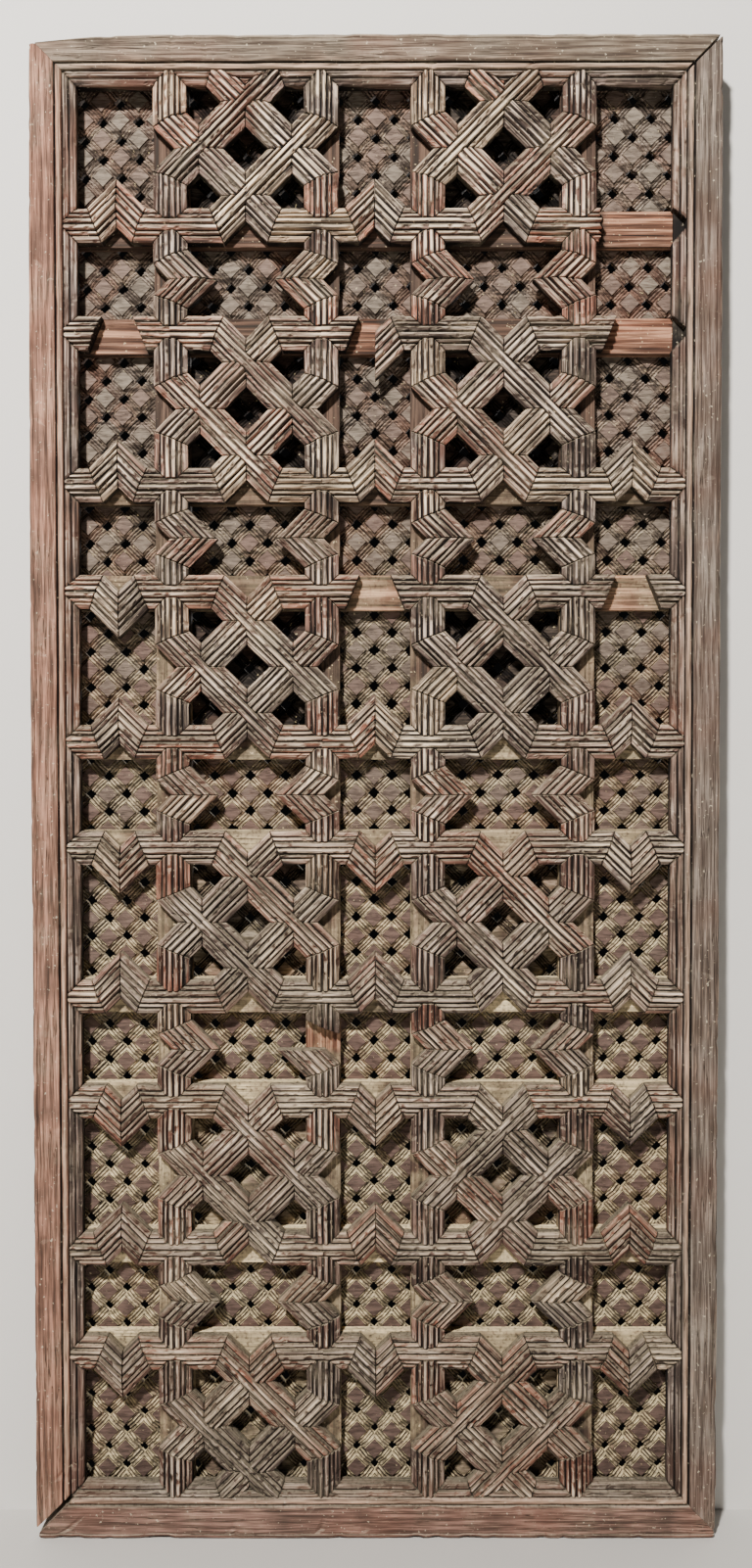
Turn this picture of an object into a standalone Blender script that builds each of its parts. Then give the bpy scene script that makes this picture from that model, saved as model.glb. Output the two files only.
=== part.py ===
"""Mashrabiya screen: a mitred frame, boards, two layers of laths and reeded strapwork on them.

Metres, +Z up, front towards -Y. The origin is on the back of the bottom rail, half way along
it. Run it with: blender --background --python part.py
"""

import math

import bmesh
import bpy
from mathutils import Vector

# Strapwork grid, measured between the centre lines of the straps
NARROW = 0.1245
WIDE = 0.176
NARROW_COLUMNS = 3
SHORT_ROWS = 5
BOTTOM_ROW_CUT = 0.0045

# Straps: a raised ridge between two sloping flanks
STRAP_WIDTH = 0.0395
RIDGE_WIDTH = 0.015
STRAP_HEIGHT = 0.020
STRAP_EDGE_HEIGHT = 0.0135
CHEVRON_REACH = 0.026
STAR_REACH = 0.034
BROKEN_STUB = 0.0235

# Frame rails
RAIL_THICKNESS = 0.060
BAND_LINE = 0.0415
RAIL_BACK_WIDTH = 0.0365
RAIL_FLAT_WIDTH = 0.0325
RAIL_GROOVE_WIDTH = 0.003
RAIL_GROOVE_DEPTH = 0.005
RAIL_EASING = 0.004
CORNER_RADIUS = 0.009
OPEN_MITRE = 0.0016
BOTTOM_EXTRA = 0.0075
ORIGIN_HEIGHT = 0.0235

# Boards and laths
BOARD_WIDTH = 0.041
BOARD_THICKNESS = 0.012
LATH_WIDTH = 0.0212
LATH_THICKNESS = 0.006
LATH_STEPS_PER_CELL = 7
LATH_BORDER = 0.020
LEAST_SLOT_AREA = 0.00002

# Fit between neighbouring pieces
GAP = 0.0003

GUIDE_COLOUR = (0.1, 0.5, 0.9)
FRAME_WOOD = (0.19, 0.12, 0.08)
BOARD_WOOD = (0.22, 0.15, 0.11)
LATH_WOOD = (0.27, 0.24, 0.19)
STRAP_WOOD = (0.24, 0.19, 0.15)
WOOD_ROUGHNESS = 0.8
CORNER_SEGMENTS = 5

HALF_STRAP = STRAP_WIDTH / 2
HALF_RIDGE = RIDGE_WIDTH / 2
HALF_NARROW = NARROW / 2
CELL_SPACING = (NARROW + WIDE) / 2
BOTTOM_BAND_LINE = BAND_LINE + BOTTOM_EXTRA

STRAP_BASE = RAIL_THICKNESS - STRAP_HEIGHT
BOARD_FRONT = STRAP_BASE - GAP
BOARD_BACK = BOARD_FRONT - BOARD_THICKNESS
FRONT_LATHS = BOARD_BACK - GAP
BACK_LATHS = FRONT_LATHS - LATH_THICKNESS - GAP

# Pieces of a star's sides that are lost, counted from the left or from below: a side is a
# straight, two legs of a chevron and a straight. Keys are short row from the top, narrow
# column from the left, and side.
LOST = {
    (0, 0, "bottom"): (1, 2),
    (0, 1, "bottom"): (1,),
    (0, 2, "bottom"): (1, 2, 3),
    (0, 2, "top"): (1, 2, 3),
    (1, 1, "bottom"): (1, 2),
    (1, 2, "bottom"): (1, 2),
    (3, 1, "left"): (2,),
}
SNAPPED = {(0, 2, "top"): 0}


def grid_lines(first, sizes):
    """Edges of neighbouring cells, starting at first."""
    lines = [first]
    for size in sizes:
        lines.append(lines[-1] + size)
    return lines


COLUMN_WIDTHS = [NARROW, WIDE] * (NARROW_COLUMNS - 1) + [NARROW]
ROW_HEIGHTS = [WIDE - BOTTOM_ROW_CUT, NARROW] + [WIDE, NARROW] * (SHORT_ROWS - 1) + [WIDE]
INNER_WIDTH = sum(COLUMN_WIDTHS)
BOTTOM_EDGE = -ORIGIN_HEIGHT
COLUMN_LINES = grid_lines(-INNER_WIDTH / 2, COLUMN_WIDTHS)
ROW_LINES = grid_lines(BOTTOM_EDGE + BOTTOM_BAND_LINE, ROW_HEIGHTS)
LEFT_EDGE = COLUMN_LINES[0] - BAND_LINE
RIGHT_EDGE = COLUMN_LINES[-1] + BAND_LINE
TOP_EDGE = ROW_LINES[-1] + BAND_LINE


def clear_scene():
    """Remove every object that the file starts with."""
    for item in list(bpy.data.objects):
        bpy.data.objects.remove(item, do_unlink=True)


def wood(name, colour):
    """A dry, unpolished wood of the given colour."""
    material = bpy.data.materials.new(name)
    material.use_nodes = True
    shader = material.node_tree.nodes["Principled BSDF"]
    shader.inputs["Base Color"].default_value = (*colour, 1.0)
    shader.inputs["Roughness"].default_value = WOOD_ROUGHNESS
    shader.inputs["Metallic"].default_value = 0.0
    return material


def add_object(name, mesh_data, colour):
    """Turn a bmesh into a named object with its own wood."""
    bmesh.ops.recalc_face_normals(mesh_data, faces=mesh_data.faces)
    mesh = bpy.data.meshes.new(name)
    mesh_data.to_mesh(mesh)
    mesh_data.free()
    mesh.materials.append(wood(name + "_wood", colour))
    item = bpy.data.objects.new(name, mesh)
    bpy.context.scene.collection.objects.link(item)
    return item


def prism(outline, low, high, to_world):
    """A bmesh of a flat outline run from low to high, placed by to_world(u, v, run)."""
    body = bmesh.new()
    near = [body.verts.new(to_world(u, v, low)) for u, v in outline]
    far = [body.verts.new(to_world(u, v, high)) for u, v in outline]
    body.faces.new(near)
    body.faces.new(reversed(far))
    for i in range(len(outline)):
        j = (i + 1) % len(outline)
        body.faces.new((near[i], far[i], far[j], near[j]))
    return body


def add_cut(item, name, operation, tool):
    """Cut the object with a guide, which stays out of the model."""
    cut = item.modifiers.new(name, "BOOLEAN")
    cut.operation = operation
    cut.solver = "EXACT"
    cut.object = tool
    tool.hide_render = True
    tool.display_type = "WIRE"


def left_of(direction):
    """The direction turned a quarter turn to its left."""
    return Vector((-direction.y, direction.x))


class Joint:
    """A place where straps meet, cross or end."""

    def __init__(self, point):
        self.point = Vector(point)
        self.pieces = []


class Piece:
    """One straight length of strap between two joints."""

    def __init__(self, start, end):
        self.start = start
        self.end = end

    def leaving(self, joint):
        """Unit direction of the strap as it leaves the joint."""
        other = self.end if joint is self.start else self.start
        return (other.point - joint.point).normalized()


class Plan:
    """The plan of all the strap pieces that were ever fixed, and the joints they share."""

    def __init__(self):
        self.joints = []

    def joint_at(self, point):
        """The joint at this point, new if there is none yet."""
        for joint in self.joints:
            if (joint.point - point).length < GAP:
                return joint
        self.joints.append(Joint(point))
        return self.joints[-1]

    def piece(self, start, end):
        """A piece that was fixed between two points."""
        piece = Piece(self.joint_at(start), self.joint_at(end))
        piece.start.pieces.append(piece)
        piece.end.pieces.append(piece)
        return piece

    def chain(self, points):
        """The pieces along a line of points."""
        return [self.piece(a, b) for a, b in zip(points, points[1:])]


def band_normal(point):
    """Direction from the opening to the frame band that the point lies on, or None."""
    sides = (
        (abs(point.x - COLUMN_LINES[0]), Vector((-1, 0))),
        (abs(point.x - COLUMN_LINES[-1]), Vector((1, 0))),
        (abs(point.y - ROW_LINES[0]), Vector((0, -1))),
        (abs(point.y - ROW_LINES[-1]), Vector((0, 1))),
    )
    distance, normal = min(sides, key=lambda side: side[0])
    return normal if distance < GAP else None


def end_point(piece, joint, offset):
    """Where the line at this offset to the left of a free end stops.

    A strap runs to the line of the frame band, is mitred to the piece that it met, or is
    cut square.
    """
    along = piece.leaving(joint)
    across = left_of(along)
    normal = band_normal(joint.point)
    others = [other for other in joint.pieces if other is not piece]
    if normal is not None:
        run = -offset * across.dot(normal) / along.dot(normal)
    elif len(others) == 1:
        mitre = (along + others[0].leaving(joint)).normalized()
        run = offset * mitre.dot(along) / mitre.dot(across) + GAP / 2 / abs(mitre.dot(across))
    else:
        run = 0.0
    return joint.point + across * offset + along * run


def corner_point(point, first, second, offset):
    """Meeting point of the edges between two neighbouring straps, second to the left of first."""
    one = left_of(first)
    two = -left_of(second)
    return point + (one + two) * (offset / (1 + one.dot(two)))


class StrapBody:
    """Straps that are joined at their mitres and crossings, as one closed body."""

    def __init__(self, pieces):
        self.pieces = pieces
        self.mesh = bmesh.new()
        self.verts = {}
        self.at = {}
        for piece in pieces:
            for joint in (piece.start, piece.end):
                self.at.setdefault(joint, []).append(piece)
        for joint, here in self.at.items():
            here.sort(key=lambda piece: math.atan2(*reversed(piece.leaving(joint))))

    def vert(self, piece, joint, offset, height):
        """The vertex at a signed offset to the left of the piece as it leaves the joint."""
        pieces = self.at[joint]
        here = pieces.index(piece)
        if len(pieces) == 1:
            key = (joint, offset, height)
        else:
            first = here if offset > 0 else (here - 1) % len(pieces)
            key = (joint, first, abs(offset), height)
        if key not in self.verts:
            if len(pieces) == 1:
                flat = end_point(piece, joint, offset)
            else:
                second = pieces[(first + 1) % len(pieces)]
                flat = corner_point(joint.point, pieces[first].leaving(joint),
                                    second.leaving(joint), abs(offset))
            self.verts[key] = self.mesh.verts.new((flat.x, -(STRAP_BASE + height), flat.y))
        return self.verts[key]

    def section(self, piece, joint, side):
        """The strap's outline at one end, from one foot over the ridge to the other foot."""
        levels = (
            (HALF_STRAP, 0.0),
            (HALF_STRAP, STRAP_EDGE_HEIGHT),
            (HALF_RIDGE, STRAP_HEIGHT),
            (-HALF_RIDGE, STRAP_HEIGHT),
            (-HALF_STRAP, STRAP_EDGE_HEIGHT),
            (-HALF_STRAP, 0.0),
        )
        return [self.vert(piece, joint, side * offset, height) for offset, height in levels]

    def add_piece(self, piece):
        """The six long faces of one piece, and its cut faces where an end is free."""
        start = self.section(piece, piece.start, 1)
        end = self.section(piece, piece.end, -1)
        for i in range(len(start)):
            j = (i + 1) % len(start)
            self.mesh.faces.new((start[i], end[i], end[j], start[j]))
        for joint, outline in ((piece.start, start), (piece.end, end)):
            if len(self.at[joint]) == 1:
                foot, edge, top, far_top, far_edge, far_foot = outline
                self.mesh.faces.new((edge, top, far_top, far_edge))
                self.mesh.faces.new((foot, edge, far_edge, far_foot))

    def add_crossing(self, joint):
        """The flat middles of a crossing, on the ridge and on the underside."""
        for offset, height in ((HALF_RIDGE, STRAP_HEIGHT), (HALF_STRAP, 0.0)):
            self.mesh.faces.new([self.vert(piece, joint, offset, height)
                                 for piece in self.at[joint]])

    def build(self, name, band_guide):
        """Make the object, scribed to the frame band where it meets it."""
        for piece in self.pieces:
            self.add_piece(piece)
        for joint, pieces in self.at.items():
            if len(pieces) > 2:
                self.add_crossing(joint)
        straps = add_object(name, self.mesh, STRAP_WOOD)
        if any(band_normal(joint.point) for joint in self.at):
            add_cut(straps, "scribed_to_band", "DIFFERENCE", band_guide)


def star_sides(plan, centre, column):
    """The four sides of the star round a small cell, each a chevron between two straights."""
    sides = {}
    for name, out in (("top", Vector((0, 1))), ("bottom", Vector((0, -1))),
                      ("left", Vector((-1, 0))), ("right", Vector((1, 0)))):
        if name == "left" and column == 0 or name == "right" and column == NARROW_COLUMNS - 1:
            continue
        run = Vector((abs(out.y), abs(out.x)))
        middle = centre + out * HALF_NARROW
        sides[name] = plan.chain([
            middle - run * HALF_NARROW,
            middle - run * CHEVRON_REACH,
            middle + out * CHEVRON_REACH,
            middle + run * CHEVRON_REACH,
            middle + run * HALF_NARROW,
        ])
    return sides


def star_arms(plan, centre, column):
    """Straps that leave the star's crossings for the wide cells and the tall cells."""
    arms = []
    reach = HALF_NARROW + WIDE / 2 - STAR_REACH
    for side in (-1, 1):
        if side < 0 and column == 0 or side > 0 and column == NARROW_COLUMNS - 1:
            continue
        for level in (-1, 1):
            corner = centre + Vector((side * HALF_NARROW, level * HALF_NARROW))
            across = centre + Vector((side * reach, level * HALF_NARROW))
            upright = centre + Vector((side * HALF_NARROW, level * reach))
            arms += [plan.piece(corner, across), plan.piece(corner, upright)]
    return arms


def lattice_straps(plan, centre, cut):
    """The four crossed diagonals of a large cell, each parted where it crosses another.

    The two that run to the cell's lower edge are shorter where the cell is cut.
    """
    half = WIDE / 2
    knot = half - STAR_REACH
    pieces = []
    for side in (-1, 1):
        for level in (-1, 1):
            short = cut if level < 0 else 0.0
            pieces += plan.chain([
                centre + Vector((-side * (STAR_REACH - short), level * (half - short))),
                centre + Vector((0, level * knot)),
                centre + Vector((side * knot, 0)),
                centre + Vector((side * half, -level * STAR_REACH)),
            ])
    return pieces


def connected(pieces):
    """Groups of pieces that touch each other, the largest first."""
    groups = []
    for piece in pieces:
        joined, joints = [piece], {piece.start, piece.end}
        for group in [group for group in groups if group[1] & joints]:
            joined += group[0]
            joints |= group[1]
            groups.remove(group)
        groups.append((joined, joints))
    return sorted((group[0] for group in groups), key=len, reverse=True)


def cell_middle(column, row):
    """Centre of a grid cell, counted from the left and from the bottom."""
    return Vector(((COLUMN_LINES[column] + COLUMN_LINES[column + 1]) / 2,
                   (ROW_LINES[row] + ROW_LINES[row + 1]) / 2))


def surviving(side, pieces, row, column):
    """The pieces of one side that are still there, with a snapped one cut short."""
    lost = LOST.get((row, column, side), ())
    kept = [piece for i, piece in enumerate(pieces) if i not in lost]
    if (row, column, side) in SNAPPED:
        old = pieces[SNAPPED[row, column, side]]
        stub_end = old.start.point + old.leaving(old.start) * BROKEN_STUB
        kept[kept.index(old)] = Piece(old.start, Joint(stub_end))
    return kept


def star_bodies(plan):
    """Stars round the small cells, with what is left of them as one body or as a few."""
    for row in range(SHORT_ROWS):
        for column in range(NARROW_COLUMNS):
            centre = cell_middle(2 * column, 2 * (SHORT_ROWS - row) - 1)
            kept = star_arms(plan, centre, column)
            for side, pieces in star_sides(plan, centre, column).items():
                kept += surviving(side, pieces, row, column)
            star, *stubs = connected(kept)
            yield f"strap_star_{row + 1}_{column + 1}", star
            for i, stub in enumerate(stubs):
                yield f"strap_stub_{row + 1}_{column + 1}_{i + 1}", stub


def lattice_bodies(plan):
    """Crossed straps in the large cells."""
    for row in range(SHORT_ROWS + 1):
        for column in range(NARROW_COLUMNS - 1):
            line = 2 * (SHORT_ROWS - row)
            centre = cell_middle(2 * column + 1, line)
            centre.y = ROW_LINES[line + 1] - WIDE / 2
            cut = BOTTOM_ROW_CUT if line == 0 else 0.0
            yield f"strap_lattice_{row + 1}_{column + 1}", lattice_straps(plan, centre, cut)


def tie_bodies(plan):
    """Upright straps between the frame's top and bottom bands and the crossed straps."""
    length = WIDE / 2 - STAR_REACH
    for name, line, run in (("top", ROW_LINES[-1], -length),
                            ("bottom", ROW_LINES[0], length - BOTTOM_ROW_CUT)):
        for i, x in enumerate(COLUMN_LINES[1:-1]):
            tie = plan.piece(Vector((x, line)), Vector((x, line + run)))
            yield f"strap_{name}_{i + 1}", [tie]


def band_envelope():
    """The room that the frame's band takes up, with the gap that the straps keep to it."""
    edge = BAND_LINE + HALF_STRAP + GAP
    ridge = BAND_LINE + HALF_RIDGE + GAP
    above = RAIL_THICKNESS + STRAP_HEIGHT
    section = (
        (0.0, STRAP_BASE - STRAP_HEIGHT),
        (edge, STRAP_BASE - STRAP_HEIGHT),
        (edge, STRAP_BASE + STRAP_EDGE_HEIGHT),
        (ridge, RAIL_THICKNESS),
        (ridge, above),
        (0.0, above),
    )
    low = BOTTOM_EDGE + BOTTOM_EXTRA
    corners = (
        (LEFT_EDGE, low, 1, 1),
        (RIGHT_EDGE, low, -1, 1),
        (RIGHT_EDGE, TOP_EDGE, -1, -1),
        (LEFT_EDGE, TOP_EDGE, 1, -1),
    )
    body = bmesh.new()
    rings = [[body.verts.new((x + right * depth, -height, z + up * depth))
              for depth, height in section] for x, z, right, up in corners]
    for here, there in zip(rings, rings[1:] + rings[:1]):
        for i in range(len(section)):
            j = (i + 1) % len(section)
            body.faces.new((here[i], there[i], there[j], here[j]))
    return add_object("band_guide", body, GUIDE_COLOUR)


def build_straps():
    """Every strap body. All are planned first, because a piece is cut to fit its neighbours."""
    plan = Plan()
    bodies = [*star_bodies(plan), *lattice_bodies(plan), *tie_bodies(plan)]
    guide = band_envelope()
    for name, pieces in bodies:
        StrapBody(pieces).build(name, guide)


def rail_section(band_line):
    """The rail's outline: distance in from the outer edge, and height above the back."""
    flat_width = RAIL_FLAT_WIDTH + band_line - BAND_LINE
    back_width = RAIL_BACK_WIDTH + band_line - BAND_LINE
    band_edge = band_line + HALF_STRAP
    flank_foot = STRAP_BASE + STRAP_EDGE_HEIGHT
    return [
        (0.0, 0.0),
        (0.0, RAIL_THICKNESS - RAIL_EASING),
        (RAIL_EASING, RAIL_THICKNESS),
        (flat_width, RAIL_THICKNESS),
        (flat_width + RAIL_GROOVE_WIDTH / 2, RAIL_THICKNESS - RAIL_GROOVE_DEPTH),
        (flat_width + RAIL_GROOVE_WIDTH, RAIL_THICKNESS),
        (band_line + HALF_RIDGE, RAIL_THICKNESS),
        (band_edge, flank_foot),
        (band_edge, STRAP_BASE),
        (back_width, STRAP_BASE),
        (back_width, 0.0),
    ]


def build_rail(name, start, end, inward, gaps, band_lines, outline_cutter):
    """A rail between two outer corners, with its moulded side inward.

    It is mitred at both ends, so that its band line meets its neighbours'. The gaps are those
    at its start and end, and the band lines are the one before it, its own and the one after.
    """
    along = (end - start).normalized()
    before, own, after = band_lines
    body = bmesh.new()
    rings = []
    for corner, way, gap, other in ((start, along, gaps[0], before),
                                    (end, -along, gaps[1], after)):
        ring = []
        for depth, height in rail_section(own):
            run = depth * other / own + gap / math.sqrt(2)
            flat = corner + inward * depth + way * run
            ring.append(body.verts.new((flat.x, -height, flat.y)))
        rings.append(ring)
    near, far = rings
    body.faces.new(near)
    body.faces.new(far)
    for i in range(len(near)):
        j = (i + 1) % len(near)
        body.faces.new((near[i], far[i], far[j], near[j]))
    rail = add_object(name, body, FRAME_WOOD)
    add_cut(rail, "worn_corners", "INTERSECT", outline_cutter)


def outline_with_round_corners():
    """The screen's outer outline, as a guide that rounds the rails' corners."""
    centres = (
        (RIGHT_EDGE - CORNER_RADIUS, TOP_EDGE - CORNER_RADIUS, 0),
        (LEFT_EDGE + CORNER_RADIUS, TOP_EDGE - CORNER_RADIUS, 1),
        (LEFT_EDGE + CORNER_RADIUS, BOTTOM_EDGE + CORNER_RADIUS, 2),
        (RIGHT_EDGE - CORNER_RADIUS, BOTTOM_EDGE + CORNER_RADIUS, 3),
    )
    outline = []
    for x, z, quarter in centres:
        for i in range(CORNER_SEGMENTS + 1):
            angle = (quarter + i / CORNER_SEGMENTS) * math.pi / 2
            outline.append((x + CORNER_RADIUS * math.cos(angle),
                            z + CORNER_RADIUS * math.sin(angle)))
    body = prism(outline, -RAIL_THICKNESS, 2 * RAIL_THICKNESS, lambda u, v, w: (u, -w, v))
    return add_object("outline_guide", body, GUIDE_COLOUR)


def build_frame():
    """Four rails. Two of their mitres have opened."""
    guide = outline_with_round_corners()
    bottom_left = Vector((LEFT_EDGE, BOTTOM_EDGE))
    bottom_right = Vector((RIGHT_EDGE, BOTTOM_EDGE))
    top_right = Vector((RIGHT_EDGE, TOP_EDGE))
    top_left = Vector((LEFT_EDGE, TOP_EDGE))
    wide, usual = BOTTOM_BAND_LINE, BAND_LINE
    build_rail("bottom_rail", bottom_left, bottom_right, Vector((0, 1)), (OPEN_MITRE, GAP),
               (usual, wide, usual), guide)
    build_rail("right_stile", bottom_right, top_right, Vector((-1, 0)), (GAP, OPEN_MITRE),
               (wide, usual, usual), guide)
    build_rail("top_rail", top_right, top_left, Vector((0, -1)), (OPEN_MITRE, GAP),
               (usual, usual, usual), guide)
    build_rail("left_stile", top_left, bottom_left, Vector((1, 0)), (GAP, OPEN_MITRE),
               (usual, usual, wide), guide)


def notched_outline(low, high, lines, notch_at_front):
    """A board's long side, halved where it crosses other boards, as (run, height above back)."""
    halving = (BOARD_FRONT + BOARD_BACK) / 2
    half_notch = BOARD_WIDTH / 2 + GAP
    notched, plain, sill = BOARD_BACK, BOARD_FRONT, halving + GAP / 2
    if notch_at_front:
        notched, plain, sill = BOARD_FRONT, BOARD_BACK, halving - GAP / 2
    outline = [(low, plain), (low, notched)]
    for line in lines:
        outline += [
            (line - half_notch, notched),
            (line - half_notch, sill),
            (line + half_notch, sill),
            (line + half_notch, notched),
        ]
    return outline + [(high, notched), (high, plain)]


def build_boards():
    """Upright boards under the upright straps, halved into cross boards that run over them."""
    seat = BAND_LINE - RAIL_BACK_WIDTH - GAP
    half = BOARD_WIDTH / 2
    uprights = COLUMN_LINES[1:-1]
    crosses = ROW_LINES[1:-1]
    low, high = ROW_LINES[0] - seat, ROW_LINES[-1] + seat
    for i, x in enumerate(uprights):
        outline = notched_outline(low, high, crosses, True)
        body = prism(outline, x - half, x + half, lambda u, v, w: (w, -v, u))
        add_object(f"upright_board_{i + 1}", body, BOARD_WOOD)
    left, right = COLUMN_LINES[0] - seat, COLUMN_LINES[-1] + seat
    for i, z in enumerate(reversed(crosses)):
        outline = notched_outline(left, right, uprights, False)
        body = prism(outline, z - half, z + half, lambda u, v, w: (u, -v, w))
        add_object(f"cross_board_{i + 1}", body, BOARD_WOOD)


def clip(outline, normal, limit):
    """The part of a convex outline on the near side of a line."""
    kept = []
    for i, here in enumerate(outline):
        there = outline[(i + 1) % len(outline)]
        a, b = here.dot(normal) - limit, there.dot(normal) - limit
        if a <= 0:
            kept.append(here)
        if (a < 0 < b) or (b < 0 < a):
            kept.append(here.lerp(there, a / (a - b)))
    return kept


def area(outline):
    """Area of a flat outline."""
    twice = sum(a.x * b.y - b.x * a.y for a, b in zip(outline, outline[1:] + outline[:1]))
    return abs(twice) / 2


def slot_outlines(low, high, rise):
    """Gaps between parallel laths that rise to the right (1) or to the left (-1)."""
    across = Vector((-rise, 1)).normalized()
    pitch = CELL_SPACING / LATH_STEPS_PER_CELL * math.sqrt(2)
    half_slot = (pitch - LATH_WIDTH) / 2
    corners = [low, Vector((high.x, low.y)), high, Vector((low.x, high.y))]
    reach = [corner.dot(across) for corner in corners]
    middle = cell_middle(0, 1).dot(across)
    first = math.floor((min(reach) - middle) / pitch)
    last = math.ceil((max(reach) - middle) / pitch)
    for i in range(first, last + 1):
        line = middle + i * pitch
        outline = clip(corners, across, line + half_slot)
        outline = clip(outline, -across, half_slot - line)
        if len(outline) > 2 and area(outline) > LEAST_SLOT_AREA:
            yield outline


def build_laths():
    """Two layers of laths that cross at a right angle, each joined by a border in the rebate."""
    seat = BAND_LINE - RAIL_BACK_WIDTH - GAP
    low = Vector((COLUMN_LINES[0] - seat, ROW_LINES[0] - seat))
    high = Vector((COLUMN_LINES[-1] + seat, ROW_LINES[-1] + seat))
    border = Vector((LATH_BORDER, LATH_BORDER))
    for name, rise, front in (("front_laths", 1, FRONT_LATHS), ("back_laths", -1, BACK_LATHS)):
        sheet = [(low.x, low.y), (high.x, low.y), (high.x, high.y), (low.x, high.y)]
        body = prism(sheet, front - LATH_THICKNESS, front, lambda u, v, w: (u, -w, v))
        laths = add_object(name, body, LATH_WOOD)
        slots = bmesh.new()
        for outline in slot_outlines(low + border, high - border, rise):
            near = [slots.verts.new((p.x, -front - LATH_THICKNESS, p.y)) for p in outline]
            far = [slots.verts.new((p.x, -front + 2 * LATH_THICKNESS, p.y)) for p in outline]
            slots.faces.new(near)
            slots.faces.new(reversed(far))
            for i in range(len(outline)):
                j = (i + 1) % len(outline)
                slots.faces.new((near[i], far[i], far[j], near[j]))
        slot_guide = add_object(name + "_slots", slots, GUIDE_COLOUR)
        add_cut(laths, "slots", "DIFFERENCE", slot_guide)


def main():
    clear_scene()
    build_frame()
    build_boards()
    build_laths()
    build_straps()


main()
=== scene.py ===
"""Looks of the mashrabiya screen: moulded frame and straps, halved boards and carved laths.

Metres, +Z up, front towards -Y. Heights are measured forwards from the screen's back plane.
"""

import logging
import math
from dataclasses import dataclass, field
from enum import Enum

import bmesh
import bpy
import numpy as np
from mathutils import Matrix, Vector


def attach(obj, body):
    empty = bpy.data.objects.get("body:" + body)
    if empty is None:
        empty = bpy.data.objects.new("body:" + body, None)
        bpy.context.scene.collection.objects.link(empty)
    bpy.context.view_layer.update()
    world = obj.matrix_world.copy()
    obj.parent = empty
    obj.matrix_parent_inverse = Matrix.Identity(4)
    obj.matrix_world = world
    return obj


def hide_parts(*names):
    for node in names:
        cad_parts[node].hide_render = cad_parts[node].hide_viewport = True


LOG = logging.getLogger("screen")
MM = 0.001

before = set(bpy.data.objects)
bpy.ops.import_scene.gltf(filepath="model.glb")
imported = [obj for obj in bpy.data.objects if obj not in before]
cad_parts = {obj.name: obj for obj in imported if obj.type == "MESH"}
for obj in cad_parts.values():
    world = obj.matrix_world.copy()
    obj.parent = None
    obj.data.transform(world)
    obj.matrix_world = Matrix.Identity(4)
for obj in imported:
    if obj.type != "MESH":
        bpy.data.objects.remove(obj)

# The grid that the frame, the boards and the straps share, as in the part's source
NARROW = 0.1245
WIDE = 0.176
NARROW_COLUMNS = 3
SHORT_ROWS = 5
BOTTOM_ROW_CUT = 0.0045
BAND_LINE = 0.0415
BOTTOM_EXTRA = 0.0075
BACK_WIDTH = 0.0365
THICKNESS = 0.060
STRAP_BASE = 0.040
LATTICE_FRONT = 0.0274
LATTICE_BACK = 0.0151
CHEVRON_REACH = 0.026
STAR_REACH = 0.034
BROKEN_STUB = 0.0235


def lines_from(first: float, sizes: list[float]) -> list[float]:
    """Edges of neighbouring cells, starting at first."""
    return [first + sum(sizes[:i]) for i in range(len(sizes) + 1)]


COLUMN_WIDTHS = [NARROW, WIDE] * (NARROW_COLUMNS - 1) + [NARROW]
ROW_HEIGHTS = [WIDE - BOTTOM_ROW_CUT, NARROW] + [WIDE, NARROW] * (SHORT_ROWS - 1) + [WIDE]
COLUMNS = lines_from(-sum(COLUMN_WIDTHS) / 2, COLUMN_WIDTHS)
BOTTOM = -0.0235
ROWS = lines_from(BOTTOM + BAND_LINE + BOTTOM_EXTRA, ROW_HEIGHTS)
LEFT, RIGHT = COLUMNS[0] - BAND_LINE, COLUMNS[-1] + BAND_LINE
TOP = ROWS[-1] + BAND_LINE

# Losses, as in the part's source: short row from the top, narrow column and side of the star,
# with the numbers of the lengths that are gone from that side
LOST = {
    (0, 0, "bottom"): (1, 2),
    (0, 1, "bottom"): (1,),
    (0, 2, "bottom"): (1, 2, 3),
    (0, 2, "top"): (1, 2, 3),
    (1, 1, "bottom"): (1, 2),
    (1, 2, "bottom"): (1, 2),
    (3, 1, "left"): (2,),
}
SNAPPED = {(0, 2, "top"): 0}

# Half the width of a strap's bare mark on the boards, and how far it runs past the strap's ends
MARK_HALF_WIDTH = 0.022
MARK_OVERRUN = 0.004

# Large odd numbers that scatter a cell's place, with a seed, into a value
SCATTER = (73856093, 19349663, 83492791)
SEED_SCATTER = 668265263
LAST_SCATTER = 1274126177
SCATTER_MASK = 0x7FFFFFFF


class Way(Enum):
    """Which diagonal of a large cell runs through at its crossings."""

    RISING = 1
    FALLING = -1


class Grain(Enum):
    """Where a wood's grain direction comes from."""

    ALONG_PIECE = "grain"
    ALONG_X = "x"
    ALONG_Z = "z"


def linear(code: str) -> tuple[float, float, float, float]:
    """Turn an sRGB hex colour into linear light.

    Args:
        code: six hex digits, with or without a leading #.

    Returns:
        Red, green, blue and an alpha of 1.
    """
    digits = code.lstrip("#")
    channels = [int(digits[i:i + 2], 16) / 255 for i in (0, 2, 4)]
    return (*[c / 12.92 if c <= 0.04045 else ((c + 0.055) / 1.055) ** 2.4 for c in channels], 1.0)


def add_node(tree: bpy.types.NodeTree, kind: str, settings: dict | None = None,
             links: dict | None = None) -> bpy.types.Node:
    """Add a node to a tree.

    Args:
        tree: shader or geometry tree.
        kind: Blender's name for the node's type.
        settings: values by property name, or by input name or number where there is no such
            property.
        links: source sockets by input name or number.

    Returns:
        The new node.
    """
    node = tree.nodes.new(kind)
    for key, value in (settings or {}).items():
        if isinstance(key, str) and hasattr(node, key):
            setattr(node, key, value)
        else:
            node.inputs[key].default_value = value
    for key, socket in (links or {}).items():
        tree.links.new(socket, node.inputs[key])
    return node


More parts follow.
